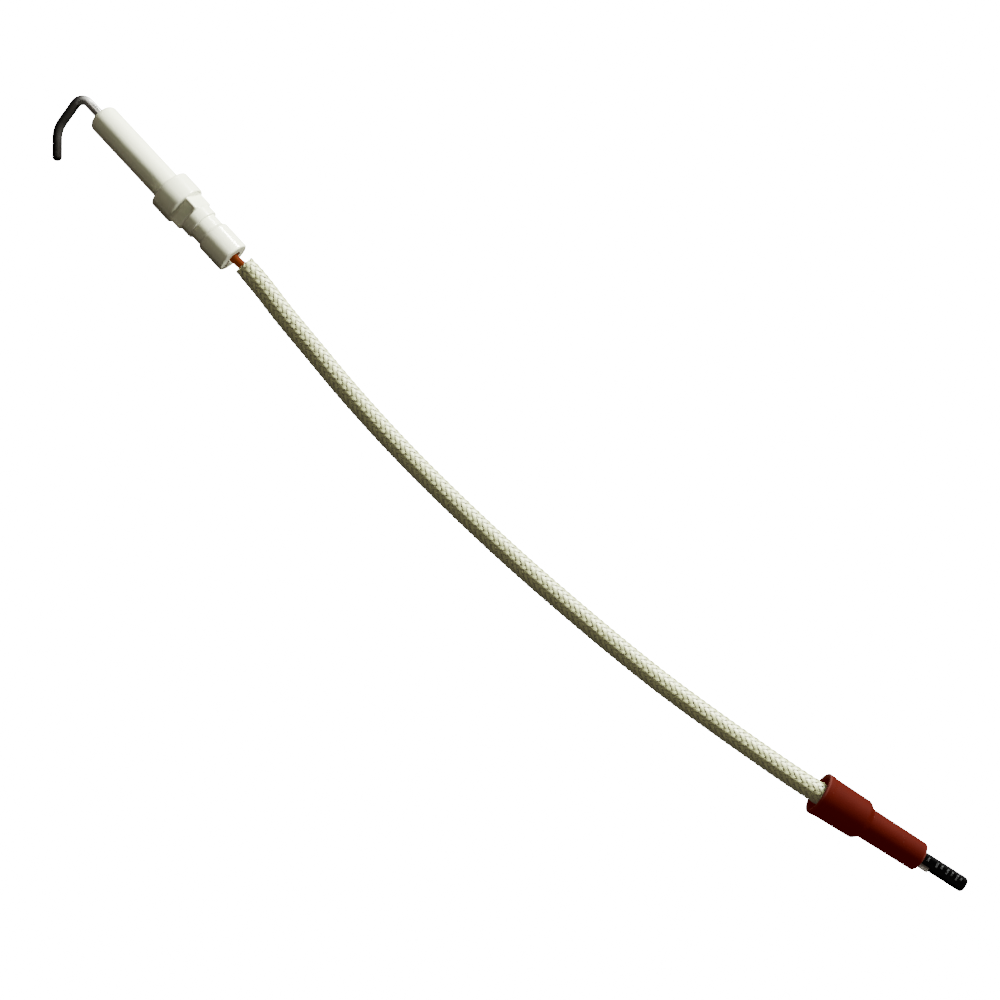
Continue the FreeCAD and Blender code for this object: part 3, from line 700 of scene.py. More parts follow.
def yarn_tree():
    """Build the geometry nodes that lay helical yarns or strands along a curve."""
    tree = bpy.data.node_groups.new("Yarns along a route", "GeometryNodeTree")
    settings = (
        ("Geometry", "Geometry", None),
        ("Yarns Each Way", "Int", 12),
        ("Ways", "Int", 2),
        ("Pitch", "Float", 0.020),
        ("Lay Radius", "Float", 0.0022),
        ("Yarn Width", "Float", 0.0009),
        ("Yarn Thickness", "Float", 0.0003),
        ("Weave Depth", "Float", 0.00014),
        ("Step", "Float", 0.0004),
        ("Front Narrowing", "Float", 0.2),
        ("Narrow Length", "Float", 0.005),
        ("Sides", "Int", 6),
        ("Material", "Material", None),
    )
    for name, kind, default in settings:
        add_socket(tree, name, kind, default)
    add_socket(tree, "Geometry", "Geometry", output=True)
    bench = NodeBench(tree)
    given = bench.add("NodeGroupInput").outputs

    feeds = {"Curve": given["Geometry"], "Length": given["Step"]}
    even = bench.add("GeometryNodeResampleCurve", feeds, mode="LENGTH")
    amount = bench.math("MULTIPLY", given["Yarns Each Way"], given["Ways"])
    feeds = {"Geometry": even.outputs["Curve"], "Amount": amount}
    copies = bench.add("GeometryNodeDuplicateElements", feeds, domain="SPLINE")

    number = copies.outputs["Duplicate Index"]
    way = bench.math("MODULO", number, given["Ways"])
    turning = bench.math("MULTIPLY_ADD", way, -2.0, 1.0)
    yarn = bench.math("FLOOR", bench.math("DIVIDE", number, given["Ways"]))
    along = bench.add("GeometryNodeSplineParameter").outputs["Length"]
    turns = bench.math("DIVIDE", along, given["Pitch"])
    spacing = bench.math("DIVIDE", yarn, given["Yarns Each Way"])
    angle = bench.math("MULTIPLY_ADD", turns, turning, spacing)
    angle = bench.math("MULTIPLY", angle, 2 * math.pi)

    # Two over, two under: each yarn's crossings are counted, four to a wave.
    crossings = bench.math("MULTIPLY", turns, given["Yarns Each Way"])
    crossings = bench.math("MULTIPLY", crossings, 2.0)
    offset = bench.math("MULTIPLY", yarn, 2.0)
    count = bench.math("MULTIPLY_ADD", crossings, turning, offset)
    wave = bench.math("MULTIPLY_ADD", count, math.pi / 2, -math.pi / 4)
    lift = bench.math("MULTIPLY", bench.math("COSINE", wave), turning)
    lift = bench.math("MULTIPLY", lift, given["Weave Depth"])

    # The yarns are drawn in at the front end, and open out behind it.
    opened = bench.spread(bench.math("DIVIDE", along, given["Narrow Length"]), 0.0, 1.0)
    drawn_in = bench.math("SUBTRACT", 1.0, opened)
    drawn_in = bench.math("MULTIPLY", drawn_in, given["Front Narrowing"])
    radius = bench.math("SUBTRACT", 1.0, drawn_in)
    radius = bench.math("MULTIPLY", given["Lay Radius"], radius)
    radius = bench.math("ADD", radius, lift)

    normal = bench.add("GeometryNodeInputNormal").outputs["Normal"]
    tangent = bench.add("GeometryNodeInputTangent").outputs["Tangent"]
    across = bench.vector("CROSS_PRODUCT", tangent, normal)
    upward = bench.vector("SCALE", normal, bench.math("COSINE", angle))
    sideward = bench.vector("SCALE", across, bench.math("SINE", angle))
    outward = bench.vector("ADD", upward, sideward)
    keep = bench.add("GeometryNodeCaptureAttribute", domain="POINT")
    readings = (
        ("VECTOR", "Outward", outward),
        ("FLOAT", "Along", along),
        ("FLOAT", "Radius", radius),
    )
    for kind, name, value in readings:
        keep.capture_items.new(kind, name)
        bench.feed(keep.inputs[name], value)
    bench.feed(keep.inputs["Geometry"], copies.outputs["Geometry"])
    kept = keep.outputs
    offset = bench.vector("SCALE", kept["Outward"], kept["Radius"])
    feeds = {"Geometry": kept["Geometry"], "Offset": offset}
    moved = bench.add("GeometryNodeSetPosition", feeds)
    feeds = {"Curve": moved.outputs["Geometry"], "Normal": kept["Outward"]}
    faced = bench.add("GeometryNodeSetCurveNormal", feeds, mode="FREE")

    # A flat oval section, which keeps each point's place across the yarn.
    feeds = {"Radius": 0.5, "Resolution": given["Sides"]}
    profile = bench.add("GeometryNodeCurvePrimitiveCircle", feeds, mode="RADIUS")
    feeds = {"X": given["Yarn Thickness"], "Y": given["Yarn Width"]}
    shape = bench.add("ShaderNodeCombineXYZ", feeds).outputs[0]
    feeds = {"Geometry": profile.outputs["Curve"], "Scale": shape}
    flattened = bench.add("GeometryNodeTransform", feeds)
    place = bench.split(bench.add("GeometryNodeInputPosition").outputs[0])
    side = bench.add("GeometryNodeCaptureAttribute", domain="POINT")
    side.capture_items.new("FLOAT", "Side")
    bench.feed(side.inputs["Geometry"], flattened.outputs["Geometry"])
    bench.feed(side.inputs["Side"], bench.math("DIVIDE", place["Y"], given["Yarn Width"]))
    feeds = {
        "Curve": faced.outputs["Curve"],
        "Profile Curve": side.outputs["Geometry"],
        "Fill Caps": True,
    }
    mesh = bench.add("GeometryNodeCurveToMesh", feeds)

    # Along the yarn in metres, and across it counted from its own middle.
    feeds = {"X": kept["Along"], "Y": side.outputs["Side"]}
    reading = bench.add("ShaderNodeCombineXYZ", feeds).outputs[0]
    feeds = {"Geometry": mesh.outputs["Mesh"], "Name": "UVMap", "Value": reading}
    kinds = {"data_type": "FLOAT2", "domain": "CORNER"}
    last = bench.add("GeometryNodeStoreNamedAttribute", feeds, **kinds)
    for step in ("SetShadeSmooth", "RealizeInstances", "SetMaterial"):
        last = bench.add("GeometryNode" + step, {"Geometry": last.outputs["Geometry"]})
    bench.feed(last.inputs["Material"], given["Material"])
    bench.add("NodeGroupOutput", {"Geometry": last.outputs["Geometry"]})
    return tree


def lay_yarns(name, route, settings):
    """Run the yarn tree on a route and keep the plain mesh that it makes."""
    tree = shared(yarn_tree)
    modifier = route.modifiers.new("Yarns", "NODES")
    modifier.node_group = tree
    for item in tree.interface.items_tree:
        if item.item_type == "SOCKET" and item.in_out == "INPUT" and item.name in settings:
            modifier[item.identifier] = settings[item.name]
    return baked_piece(name, route)


# --- What a user can change ----------------------------------------------------------


def a_length(name, millimetres, description):
    """Describe a length that a user can change."""
    return FloatProperty(
        name=name, description=description, default=millimetres * MM, unit="LENGTH"
    )


def a_colour(name, default, description, **limits):
    """Describe a colour that a user can change."""
    return FloatVectorProperty(
        name=name, description=description, default=default, subtype="COLOR", **limits
    )


def a_power(name, watts, description):
    """Describe a light's power."""
    return FloatProperty(name=name, description=description, default=watts, unit="POWER")


def a_count(name, number, least, description):
    """Describe a whole number that a user can change."""
    return IntProperty(name=name, description=description, default=number, min=least)


class StageSettings(PropertyGroup):
    """The camera, the lights and the floor."""

    camera_place: FloatVectorProperty(
        name="Camera Place",
        description="Where the camera stands, looking straight down",
        default=(-0.1041, -0.0070, 0.330),
        subtype="TRANSLATION",
        unit="LENGTH",
    )
    camera_up: FloatVectorProperty(
        name="Camera Up",
        description="The direction that the top of the view points to",
        default=(0.732, -0.681, 0.0),
        subtype="DIRECTION",
    )
    lens: FloatProperty(
        name="Lens",
        description="Focal length of the camera, on a 36 mm wide sensor",
        default=51.77,
        unit="CAMERA",
    )
    key_power: a_power("Key Power", 110.0, "Power of the big soft light")
    top_power: a_power("Top Power", 1.0, "Power of the soft light overhead")
    fill_colour: a_colour(
        "Fill Colour", (0.050, 0.041, 0.034), "Colour of the dim light from all round"
    )
    floor_colour: a_colour(
        "Floor Colour", (30.0, 30.0, 30.0), "Colour of the pale floor", max=40.0
    )


class InsulatorSettings(PropertyGroup):
    """Sizes and glaze of the ceramic insulator."""

    nose_diameter: a_length("Nose Diameter", 7.0, "Long front part")
    collar_diameter: a_length("Collar Diameter", 10.4, "Widest band")
    square_diameter: a_length(
        "Square Diameter", 9.7, "Across the rounded corners of the square part"
    )
    across_flats: a_length("Across Flats", 7.1, "Across opposite flats of the square part")
    square_turn: FloatProperty(
        name="Square Turn",
        description="Turn of the square part's flats about the axis",
        default=math.radians(24.5),
        unit="ROTATION",
    )
    ring_diameter: a_length("Ring Diameter", 8.1, "Band behind the square")
    neck_diameter: a_length("Neck Diameter", 7.1, "Groove for the clip")
    barrel_diameter: a_length("Barrel Diameter", 8.2, "Rear part")
    glaze_colour: a_colour("Glaze Colour", (0.72, 0.76, 0.56), "Colour of the glazed ceramic")
    segments: a_count("Segments", 160, 24, "Faces round the insulator")


class RodSettings(PropertyGroup):
    """Size and finish of the electrode wire and its cement."""

    diameter: a_length("Rod Diameter", 2.2, "Diameter of the wire")
    scale_colour: a_colour(
        "Scale Colour", (0.0075, 0.0066, 0.0052), "Colour of the oxide scale on the wire"
    )
    bare_colour: a_colour(
        "Bare Colour", (0.86, 0.86, 0.83), "Colour of the wire where it is rubbed bare"
    )
    cement_colour: a_colour(
        "Cement Colour", (0.74, 0.72, 0.66), "Colour of the cement round the wire"
    )


class JointSettings(PropertyGroup):
    """Finish of the joint inside the insulator and the seal behind it."""

    ferrule_colour: a_colour(
        "Ferrule Colour", (0.62, 0.61, 0.58), "Colour of the plated joint ferrule"
    )
    seal_colour: a_colour("Seal Colour", (0.55, 0.50, 0.42), "Colour of the potting round the lead")


class LeadSettings(PropertyGroup):
    """Sizes and colours of the silicone lead and its conductor."""

    diameter: a_length("Lead Diameter", 2.1, "Diameter over the silicone insulation")
    length: a_length("Lead Length", 212.0, "Length of the insulation, from its joint to its crimp")
    dark_colour: a_colour(
        "Dark Colour", (0.030, 0.0052, 0.0006), "Darker tone of the silicone insulation"
    )
    light_colour: a_colour(
        "Light Colour", (0.040, 0.0074, 0.0008), "Lighter tone of the silicone insulation"
    )
    # Painted glow: an emission colour that lightens the lead's shaded side.
    painted_glow_colour: a_colour(
        "Painted Glow Colour", (0.085, 0.0140, 0.0010), "Tone of the light that comes through the silicone"
    )
    strands: a_count("Strands", 7, 3, "Strands laid round the conductor")
    strand_diameter: a_length("Strand Diameter", 0.28, "Diameter of a strand")
    strand_pitch: a_length("Strand Pitch", 12.0, "Length over which a strand goes once round")


class SleeveSettings(PropertyGroup):
    """Sizes and colours of the braided glass sleeve."""

    diameter: a_length("Sleeve Diameter", 5.3, "Diameter over the braid")
    length: a_length("Sleeve Length", 187.0, "Length of the braid")
    yarns: a_count("Yarns Each Way", 12, 4, "Yarns that turn in each direction")
    pitch: a_length("Braid Pitch", 20.0, "Length over which a yarn goes once round")
    yarn_width: a_length("Yarn Width", 1.0, "Width of a flat yarn")
    yarn_thickness: a_length("Yarn Thickness", 0.42, "Thickness of a flat yarn")
    weave_depth: a_length("Weave Depth", 0.2, "How far a yarn goes over and under the others")
    front_narrowing: FloatProperty(
        name="Front Narrowing",
        description="Share by which the front end is drawn in",
        default=0.06,
        subtype="FACTOR",
    )
    narrow_length: a_length("Narrow Length", 3.0, "Length over which the front end opens out")
    yarn_colour: a_colour(
        "Yarn Colour", (0.46, 0.52, 0.215), "Colour of the varnished glass yarn"
    )
    # Also the colour of the painted shade along the yarns' edges, and of the dark tube under the
    # braid.
    shadow_colour: a_colour(
        "Shadow Colour", (0.15, 0.145, 0.085), "Colour between the filaments of a yarn"
    )
    # Painted glow: an emission colour that lightens the sleeve's shaded side.
    painted_glow_colour: a_colour(
        "Painted Glow Colour", (0.037, 0.033, 0.023), "Tone of the light that comes through the glass"
    )


class TerminalSettings(PropertyGroup):
    """Sizes and colour of the crimped receptacle."""

    width: a_length("Receptacle Width", 3.2, "Across its rolls")
    metal_thickness: a_length("Metal Thickness", 0.34, "Thickness of the sheet metal")
    metal_colour: a_colour("Metal Colour", (0.80, 0.79, 0.77), "Colour of the tinned brass")


class HeatShrinkSettings(PropertyGroup):
    """Sizes and colours of the heat-shrink tube over the receptacle."""

    width: a_length("Tube Width", 3.6, "Outside width")
    wall: a_length("Tube Wall", 0.2, "Wall thickness")
    tube_colour: a_colour("Tube Colour", (0.0018, 0.0018, 0.0019), "Colour of the heat-shrink tube")
    mark_colour: a_colour("Mark Colour", (0.050, 0.052, 0.054), "Colour of the plain worn marks")


class BootSettings(PropertyGroup):
    """Sizes and colours of the silicone boot."""

    lip_diameter: a_length("Lip Diameter", 10.4, "Across the mouth")
    body_diameter: a_length("Body Diameter", 9.6, "Wide part, at its shoulder")
    neck_diameter: a_length("Neck Diameter", 7.35, "Narrow part, behind the shoulder")
    tail_diameter: a_length("Tail Diameter", 7.0, "Narrow part, at its end")
    dark_colour: a_colour(
        "Dark Colour", (0.0145, 0.0009, 0.0002), "Darker tone of the moulded silicone"
    )
    light_colour: a_colour(
        "Light Colour", (0.019, 0.0014, 0.0003), "Lighter tone of the moulded silicone"
    )
    # Painted glow: an emission colour that lightens the boot's shaded side.
    painted_glow_colour: a_colour(
        "Painted Glow Colour", (0.038, 0.0006, 0.0006), "Tone of the light that comes through the silicone"
    )
    segments: a_count("Segments", 128, 24, "Faces round the boot")


class ElectrodeSettings(PropertyGroup):
    """Everything that can be changed, piece by piece."""

    stage: PointerProperty(type=StageSettings)
    insulator: PointerProperty(type=InsulatorSettings)
    rod: PointerProperty(type=RodSettings)
    joint: PointerProperty(type=JointSettings)
    lead: PointerProperty(type=LeadSettings)
    sleeve: PointerProperty(type=SleeveSettings)
    terminal: PointerProperty(type=TerminalSettings)
    heat_shrink: PointerProperty(type=HeatShrinkSettings)
    boot: PointerProperty(type=BootSettings)


# --- The stage ------------------------------------------------------------------------

# Lights: name, place beside the object's middle, width, height, colour.
KEY_LIGHT = ("Key light", (0.06, -1.0, 0.14), 0.6, 0.26, (1.0, 1.0, 0.94))
TOP_LIGHT = ("Top light", (0.03, -0.20, 0.56), 0.7, 0.08, (1.0, 0.93, 0.82))
# The floor's half width, its colour where it lights the object, its white paper and
# how much of the paper shows in its glow.
FLOOR_REACH = 3.0
FLOOR_BOUNCE = (0.10, 0.085, 0.07, 1)
PAPER = (0.9, 0.9, 0.9, 1)
PAPER_SHARE = 0.25


def aim(place, target, up):
    """Give the place and turn of a camera or light that looks at a point."""
    back = (place - target).normalized()
    right = up.cross(back).normalized()
    turn = Matrix((right, back.cross(right), back)).transposed().to_4x4()
    return Matrix.Translation(place) @ turn


def add_holder(name, data, matrix):
    """Add a camera or a light to the scene."""
    holder = bpy.data.objects.new(name, data)
    bpy.context.scene.collection.objects.link(holder)
    holder.matrix_world = matrix
    return holder


def add_light(name, offset, width, height, tint, strength):
    """Add a rectangular area light, wide along the object."""
    light = bpy.data.lights.new(name, "AREA")
    light.shape = "RECTANGLE"
    light.size = width
    light.size_y = height
    light.energy = strength
    light.color = tint
    add_holder(name, light, aim(OBJECT_MIDDLE + Vector(offset), OBJECT_MIDDLE, UP))


def floor_material(seen_colour):
    """Pale paper: near white to the eye, brownish and dim where it lights the object."""
    material, bench, shader = new_material("pale_floor", Roughness=0.9, Base_Color=FLOOR_BOUNCE)
    glow = bench.add("ShaderNodeEmission", {"Color": (1, 1, 1, 1), "Strength": seen_colour[0]})
    paper = bench.add("ShaderNodeBsdfDiffuse", {"Color": PAPER})
    feeds = {"Fac": PAPER_SHARE, 1: glow.outputs[0], 2: paper.outputs[0]}
    seen = bench.add("ShaderNodeMixShader", feeds)
    rays = bench.add("ShaderNodeLightPath").outputs["Is Camera Ray"]
    feeds = {"Fac": rays, 1: shader.outputs[0], 2: seen.outputs[0]}
    chosen = bench.add("ShaderNodeMixShader", feeds)
    output = material.node_tree.nodes["Material Output"]
    bench.feed(output.inputs["Surface"], chosen.outputs[0])
    return material


def light_world(fill_colour, seen_colour):
    """Light the object dimly from all round, and show a pale background."""
    world = bpy.data.worlds.new("Studio")
    world.use_nodes = True
    bpy.context.scene.world = world
    bench = NodeBench(world.node_tree)
    rays = bench.add("ShaderNodeLightPath").outputs["Is Camera Ray"]
    seen = bench.mix(rays, tone(fill_colour), tone(seen_colour))
    bench.feed(world.node_tree.nodes["Background"].inputs["Color"], seen)


class ELECTRODE_OT_build_stage(Operator):
    """Build the camera, the lights and the floor"""

    bl_idname = "electrode.build_stage"
    bl_label = "Build Stage"

    def execute(self, context):
        settings = context.scene.ignition_electrode.stage
        camera = bpy.data.cameras.new("Camera")
        camera.lens = settings.lens
        camera.sensor_width = 36.0
        camera.clip_start = 0.01
        place = Vector(settings.camera_place)
        view = aim(place, place - UP, Vector(settings.camera_up))
        context.scene.camera = add_holder("Camera", camera, view)
        add_light(*KEY_LIGHT, settings.key_power)
        add_light(*TOP_LIGHT, settings.top_power)
        light_world(settings.fill_colour, settings.floor_colour)

        bm = bmesh.new()
        bmesh.ops.create_grid(bm, x_segments=1, y_segments=1, size=FLOOR_REACH)
        middle = (OBJECT_MIDDLE.x, OBJECT_MIDDLE.y, FLOOR_HEIGHT)
        bmesh.ops.translate(bm, vec=middle, verts=bm.verts)
        floor = finish_mesh("Floor", bm, floor_material(settings.floor_colour))
        return {"FINISHED"}


# --- The lead and its sleeve -----------------------------------------------------------

LEAD_BEVEL_STEPS = 6
STRAND_LAY_RADIUS = 0.30 * MM
STRAND_STEP = 0.8 * MM
YARN_STEP = 0.4 * MM
# The dark tube under the braid, painted shade seen in the gaps between the yarns: how far
# its outside lies under the yarns' middle, its wall and the faces round it.
SHADE_TUBE_DEPTH = 0.12 * MM
SHADE_TUBE_WALL = 0.15 * MM
SHADE_TUBE_SIDES = 32


class ELECTRODE_OT_build_lead(Operator):
    """Build the silicone lead and the stranded conductor inside it"""

    bl_idname = "electrode.build_lead"
    bl_label = "Build Lead"

    def execute(self, context):
        settings = context.scene.ignition_electrode.lead
        ends = [beside_boot(LEAD_LEVEL_AT), beside_boot(LEAD_END_AT)]
        lead_route = [LEAD_FRONT, *LEAD_EXIT_ROUTE, *SLEEVED_ROUTE, *ends]
        lead = smooth_route("silicone_lead", lead_route)
        lead.data.bevel_depth = settings.diameter / 2
        lead.data.bevel_resolution = LEAD_BEVEL_STEPS
        lead.data.use_fill_caps = True
        finish = silicone_material("orange_silicone", settings, roughness=0.6, cloud_scale=240.0)
        lead.data.materials.append(finish)
        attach(lead, ROOT)
        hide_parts("lead_insulation")

        ends = [beside_boot(LEAD_LEVEL_AT), beside_boot(WIRE_END_AT)]
        wire_route = [WIRE_FRONT, *LEAD_EXIT_ROUTE, *SLEEVED_ROUTE, *ends]
        wire = {
            "Yarns Each Way": settings.strands,
            "Ways": 1,
            "Pitch": settings.strand_pitch,
            "Lay Radius": STRAND_LAY_RADIUS,
            "Yarn Width": settings.strand_diameter,
            "Yarn Thickness": settings.strand_diameter,
            "Weave Depth": 0.0,
            "Step": STRAND_STEP,
            "Front Narrowing": 0.0,
            "Material": wire_material(),
        }
        strands = lay_yarns("stranded_wire", smooth_route("wire_route", wire_route), wire)
        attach(strands, ROOT)
        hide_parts("lead_conductor")
        return {"FINISHED"}


def narrowed_radii(path, settings):
    """Give the share of its full radius that the braid has at each point of its path."""
    shares = []
    walked = 0.0
    for index, point in enumerate(path):
        walked += (point - path[max(index - 1, 0)]).length
        share = min(walked / settings.narrow_length, 1.0)
        opened = share * share * (3 - 2 * share)
        shares.append(1 - settings.front_narrowing * (1 - opened))
    return shares


class ELECTRODE_OT_build_sleeve(Operator):
    """Build the braided glass sleeve, yarn by yarn, over a dark tube of painted shade"""

    bl_idname = "electrode.build_sleeve"
    bl_label = "Build Sleeve"

    def execute(self, context):
        settings = context.scene.ignition_electrode.sleeve
        sleeve_route = [SLEEVE_FRONT, *SLEEVED_ROUTE, beside_boot(SLEEVE_END_AT)]
        route = smooth_route("sleeve_route", sleeve_route)
        path = route_points(route)
        lay_radius = settings.diameter / 2 - settings.weave_depth - settings.yarn_thickness / 2
        yarns = {
            "Yarns Each Way": settings.yarns,
            "Ways": 2,
            "Pitch": settings.pitch,
            "Lay Radius": lay_radius,
            "Yarn Width": settings.yarn_width,
            "Yarn Thickness": settings.yarn_thickness,
            "Weave Depth": settings.weave_depth,
            "Step": YARN_STEP,
            "Front Narrowing": settings.front_narrowing,
            "Narrow Length": settings.narrow_length,
            "Material": glass_yarn_material(
                settings.yarn_colour, settings.shadow_colour, settings.painted_glow_colour
            ),
        }
        braid = lay_yarns("glass_braid", route, yarns)
        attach(braid, ROOT)
        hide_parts("braided_sleeve")

        # A dark tube under the yarns: painted shade that shows in the gaps between them.
        outside = lay_radius - SHADE_TUBE_DEPTH
        inside = outside - SHADE_TUBE_WALL
        shares = narrowed_radii(path, settings)
        outer = tube_rings(path, [outside * share for share in shares], SHADE_TUBE_SIDES)
        inner = tube_rings(path, [inside * share for share in shares], SHADE_TUBE_SIDES)
        finish = gap_shade_tube_material(settings.shadow_colour)
        shade_tube = ring_piece("braid_gap_shade_tube", outer + inner[::-1], finish)
        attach(shade_tube, ROOT)

        return {"FINISHED"}


# --- The insulator and the electrode ---------------------------------------------------

LEAD_BORE = 1.8 * MM
CEMENT_BORE = 1.7 * MM
ROD_BORE = 1.2 * MM
TIP_ROUND = 0.9 * MM
TIP_STEPS = 7
ROD_SIDES = 40
BEND_STEPS = 14
SQUARE_SOFTNESS = 40
# The wire's corners, in mm: along, side, bend radius.
ROD_STOPS = ((-10.0, 0.0, 0.0), (29.3, 0.0, 2.0), (27.4, 9.4, 6.6), (22.1, 14.4, 0.0))


def square_radius(angle, sizes):
    """Give the square part's radius at an angle: four flats with round corners."""
    quarter = math.pi / 2
    from_flat = (angle - sizes.square_turn + quarter / 2) % quarter - quarter / 2
    flat = sizes.across_flats / 2 / math.cos(from_flat)
    corner = sizes.square_diameter / 2
    return (flat**-SQUARE_SOFTNESS + corner**-SQUARE_SOFTNESS) ** (-1 / SQUARE_SOFTNESS)


def insulator_outline(angle, sizes):
    """Give the insulator's section at an angle, from its rear round to its bores."""
    rear, tip = INSULATOR_LOW.x, INSULATOR_HIGH.x
    nose = sizes.nose_diameter / 2
    collar = sizes.collar_diameter / 2
    square = square_radius(angle, sizes)
    ring = sizes.ring_diameter / 2
    neck = sizes.neck_diameter / 2
    barrel = sizes.barrel_diameter / 2
    nose_edge = 0.8 * MM
    return round_corners(
        [
            (rear, LEAD_BORE, 0.2 * MM),
            (rear, barrel, 0.45 * MM),
            (-15.0 * MM, barrel, 0.5 * MM),
            (-14.3 * MM, neck, 0.4 * MM),
            (-11.5 * MM, neck, 0.35 * MM),
            (-11.5 * MM, ring, 0.4 * MM),
            (-9.0 * MM, ring, 0.25 * MM),
            (-8.75 * MM, square, 0.35 * MM),
            (-5.7 * MM, square, 0.35 * MM),
            (-5.5 * MM, collar, 0.4 * MM),
            (0.0, collar, 0.4 * MM),
            (0.0, nose, 0.45 * MM),
            (tip - nose_edge, nose, 1.4 * MM),
            (tip, nose - nose_edge, 1.4 * MM),
            (tip, CEMENT_BORE, 0.2 * MM),
            (20.2 * MM, CEMENT_BORE, 0.0),
            (20.2 * MM, ROD_BORE, 0.0),
            (-5.1 * MM, ROD_BORE, 0.0),
            (-5.1 * MM, LEAD_BORE, 0.0),
        ]
    )


class ELECTRODE_OT_build_insulator(Operator):
    """Build the glazed ceramic insulator"""

    bl_idname = "electrode.build_insulator"
    bl_label = "Build Insulator"

    def execute(self, context):
        settings = context.scene.ignition_electrode.insulator
        rings = turned_rings(
            lambda angle: insulator_outline(angle, settings), on_insulator, settings.segments
        )
        finish = glaze_material(settings.glaze_colour)
        insulator = ring_piece("glazed_insulator", rings, finish)
        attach(insulator, ROOT)
        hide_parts("ceramic_insulator")
        return {"FINISHED"}


class ELECTRODE_OT_build_rod(Operator):
    """Build the bent electrode wire and the cement that holds it"""

    bl_idname = "electrode.build_rod"
    bl_label = "Build Electrode Wire"

    def execute(self, context):
        settings = context.scene.ignition_electrode.rod
        radius = settings.diameter / 2
        stops = [tuple(value * MM for value in stop) for stop in ROD_STOPS]
        path = round_corners(stops, closed=False, steps=BEND_STEPS)
        path = [point.to_3d() for point in path]
        tip = path.pop()
        heading = (tip - path[-1]).normalized()
        radii = [radius] * len(path)
        for step in range(TIP_STEPS + 1):
            angle = math.pi / 2 * step / TIP_STEPS
            path.append(tip - heading * TIP_ROUND * (1 - math.sin(angle)))
            radii.append(radius - TIP_ROUND * (1 - math.cos(angle)))
        finish = electrode_wire_material(settings.scale_colour, tone(settings.bare_colour))
        rings = tube_rings(path, radii, ROD_SIDES)
        rod = ring_piece("bent_electrode_wire", rings, finish, closed=False)
        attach(rod, ROOT)
        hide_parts("electrode_rod")

        # The cement climbs the wire and the wall, and is lowest between them.
        cement_low, cement_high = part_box("rod_cement")
        outline = round_corners(
            [
                (cement_low.x, radius, 0.0),
                (cement_low.x, CEMENT_BORE, 0.0),
                (cement_high.x, CEMENT_BORE, 0.05 * MM),
                (cement_high.x - 0.14 * MM, 1.45 * MM, 0.2 * MM),
                (cement_high.x, radius, 0.05 * MM),
            ]
        )
        rings = turned_rings(lambda angle: outline, on_insulator, segments=64)
        finish = filler_material("cement", settings.cement_colour, roughness=0.85)
        cement = ring_piece("wire_cement", rings, finish)
        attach(cement, ROOT)
        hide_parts("rod_cement")
        return {"FINISHED"}


def refinish(node_name, material):
    """Give a frame piece, whose shape is right as it is, a better material."""
    for holder in frame["nodes"][node_name].material_slots:
        holder.material = material


class ELECTRODE_OT_finish_joint(Operator):
    """Give the joint ferrule and the rear seal their finishes"""

    bl_idname = "electrode.finish_joint"
    bl_label = "Finish Joint And Seal"

    def execute(self, context):
        settings = context.scene.ignition_electrode.joint
        plating = plated_metal_material("plated_steel", settings.ferrule_colour, roughness=0.3)
        refinish("joint_ferrule", plating)
        potting = filler_material("potting", settings.seal_colour, roughness=0.6)
        refinish("rear_seal", potting)
        return {"FINISHED"}


# --- The terminal, its tube and the boot -------------------------------------------------

# The receptacle's height, the top and half width of its floor, and the floor's edges.
RECEPTACLE_LOW, RECEPTACLE_HIGH = -1.2 * MM, 0.45 * MM
STRIP_TOP, STRIP_HALF, STRIP_EDGE = -1.06 * MM, 0.8 * MM, 0.1 * MM
# Crimps: outer radius, metal, how far the ears tuck in, rear, front.
SLEEVE_CRIMP = (1.4 * MM, 0.3 * MM, 0.3 * MM, 17.6 * MM, 20.5 * MM)
WIRE_CRIMP = (1.2 * MM, 0.34 * MM, 0.42 * MM, 21.6 * MM, 24.8 * MM)
# The side wing: its root, its rim, its underside, its top, and its ribs.
WING_ROOT, WING_RIM = -1.35 * MM, -2.2 * MM
WING_LOW, WING_TOP = -0.375 * MM, -0.13 * MM
RIB_FIRST, RIB_SPACING, RIB_RADIUS, RIB_COUNT = -2.07 * MM, 0.27 * MM, 0.1 * MM, 3


def rolled_receptacle(half_width, low, high, thickness):
    """Give the section of a receptacle: a floor with its two edges rolled over."""
    radius = (high - low - thickness) / 2
    middle = (low + high) / 2
    roll_at = half_width - thickness / 2 - radius
    left = arc((-roll_at, middle), radius, 30, 270)
    right = arc((roll_at, middle), radius, -90, 150)
    return strip_outline(left + right, thickness)


def closed_crimp(outer_radius, thickness, tuck):
    """Give the section of a crimp whose two ears meet and tuck in at the top."""
    radius = outer_radius - thickness / 2
    around = arc((0.0, 0.0), radius, 112, 428, steps=28)
    half_gap, ear_share = 0.55 * thickness, 0.9
    left_tuck = Vector((-half_gap, radius - tuck))
    right_tuck = Vector((half_gap, radius - tuck))
    return strip_outline([left_tuck, *around, right_tuck], thickness * ear_share)


def wing_section():
    """Give the section of the side wing, with three small ribs on its top."""
    rim_slope = 0.03 * MM
    points = [
        Vector((WING_ROOT, WING_LOW)),
        Vector((WING_RIM + rim_slope, WING_LOW)),
        Vector((WING_RIM, WING_TOP)),
    ]
    for rib in range(RIB_COUNT):
        centre = (RIB_FIRST + rib * RIB_SPACING, WING_TOP)
        points += arc(centre, RIB_RADIUS, 180, 0, steps=6)
    points.append(Vector((WING_ROOT, WING_TOP)))
    return points


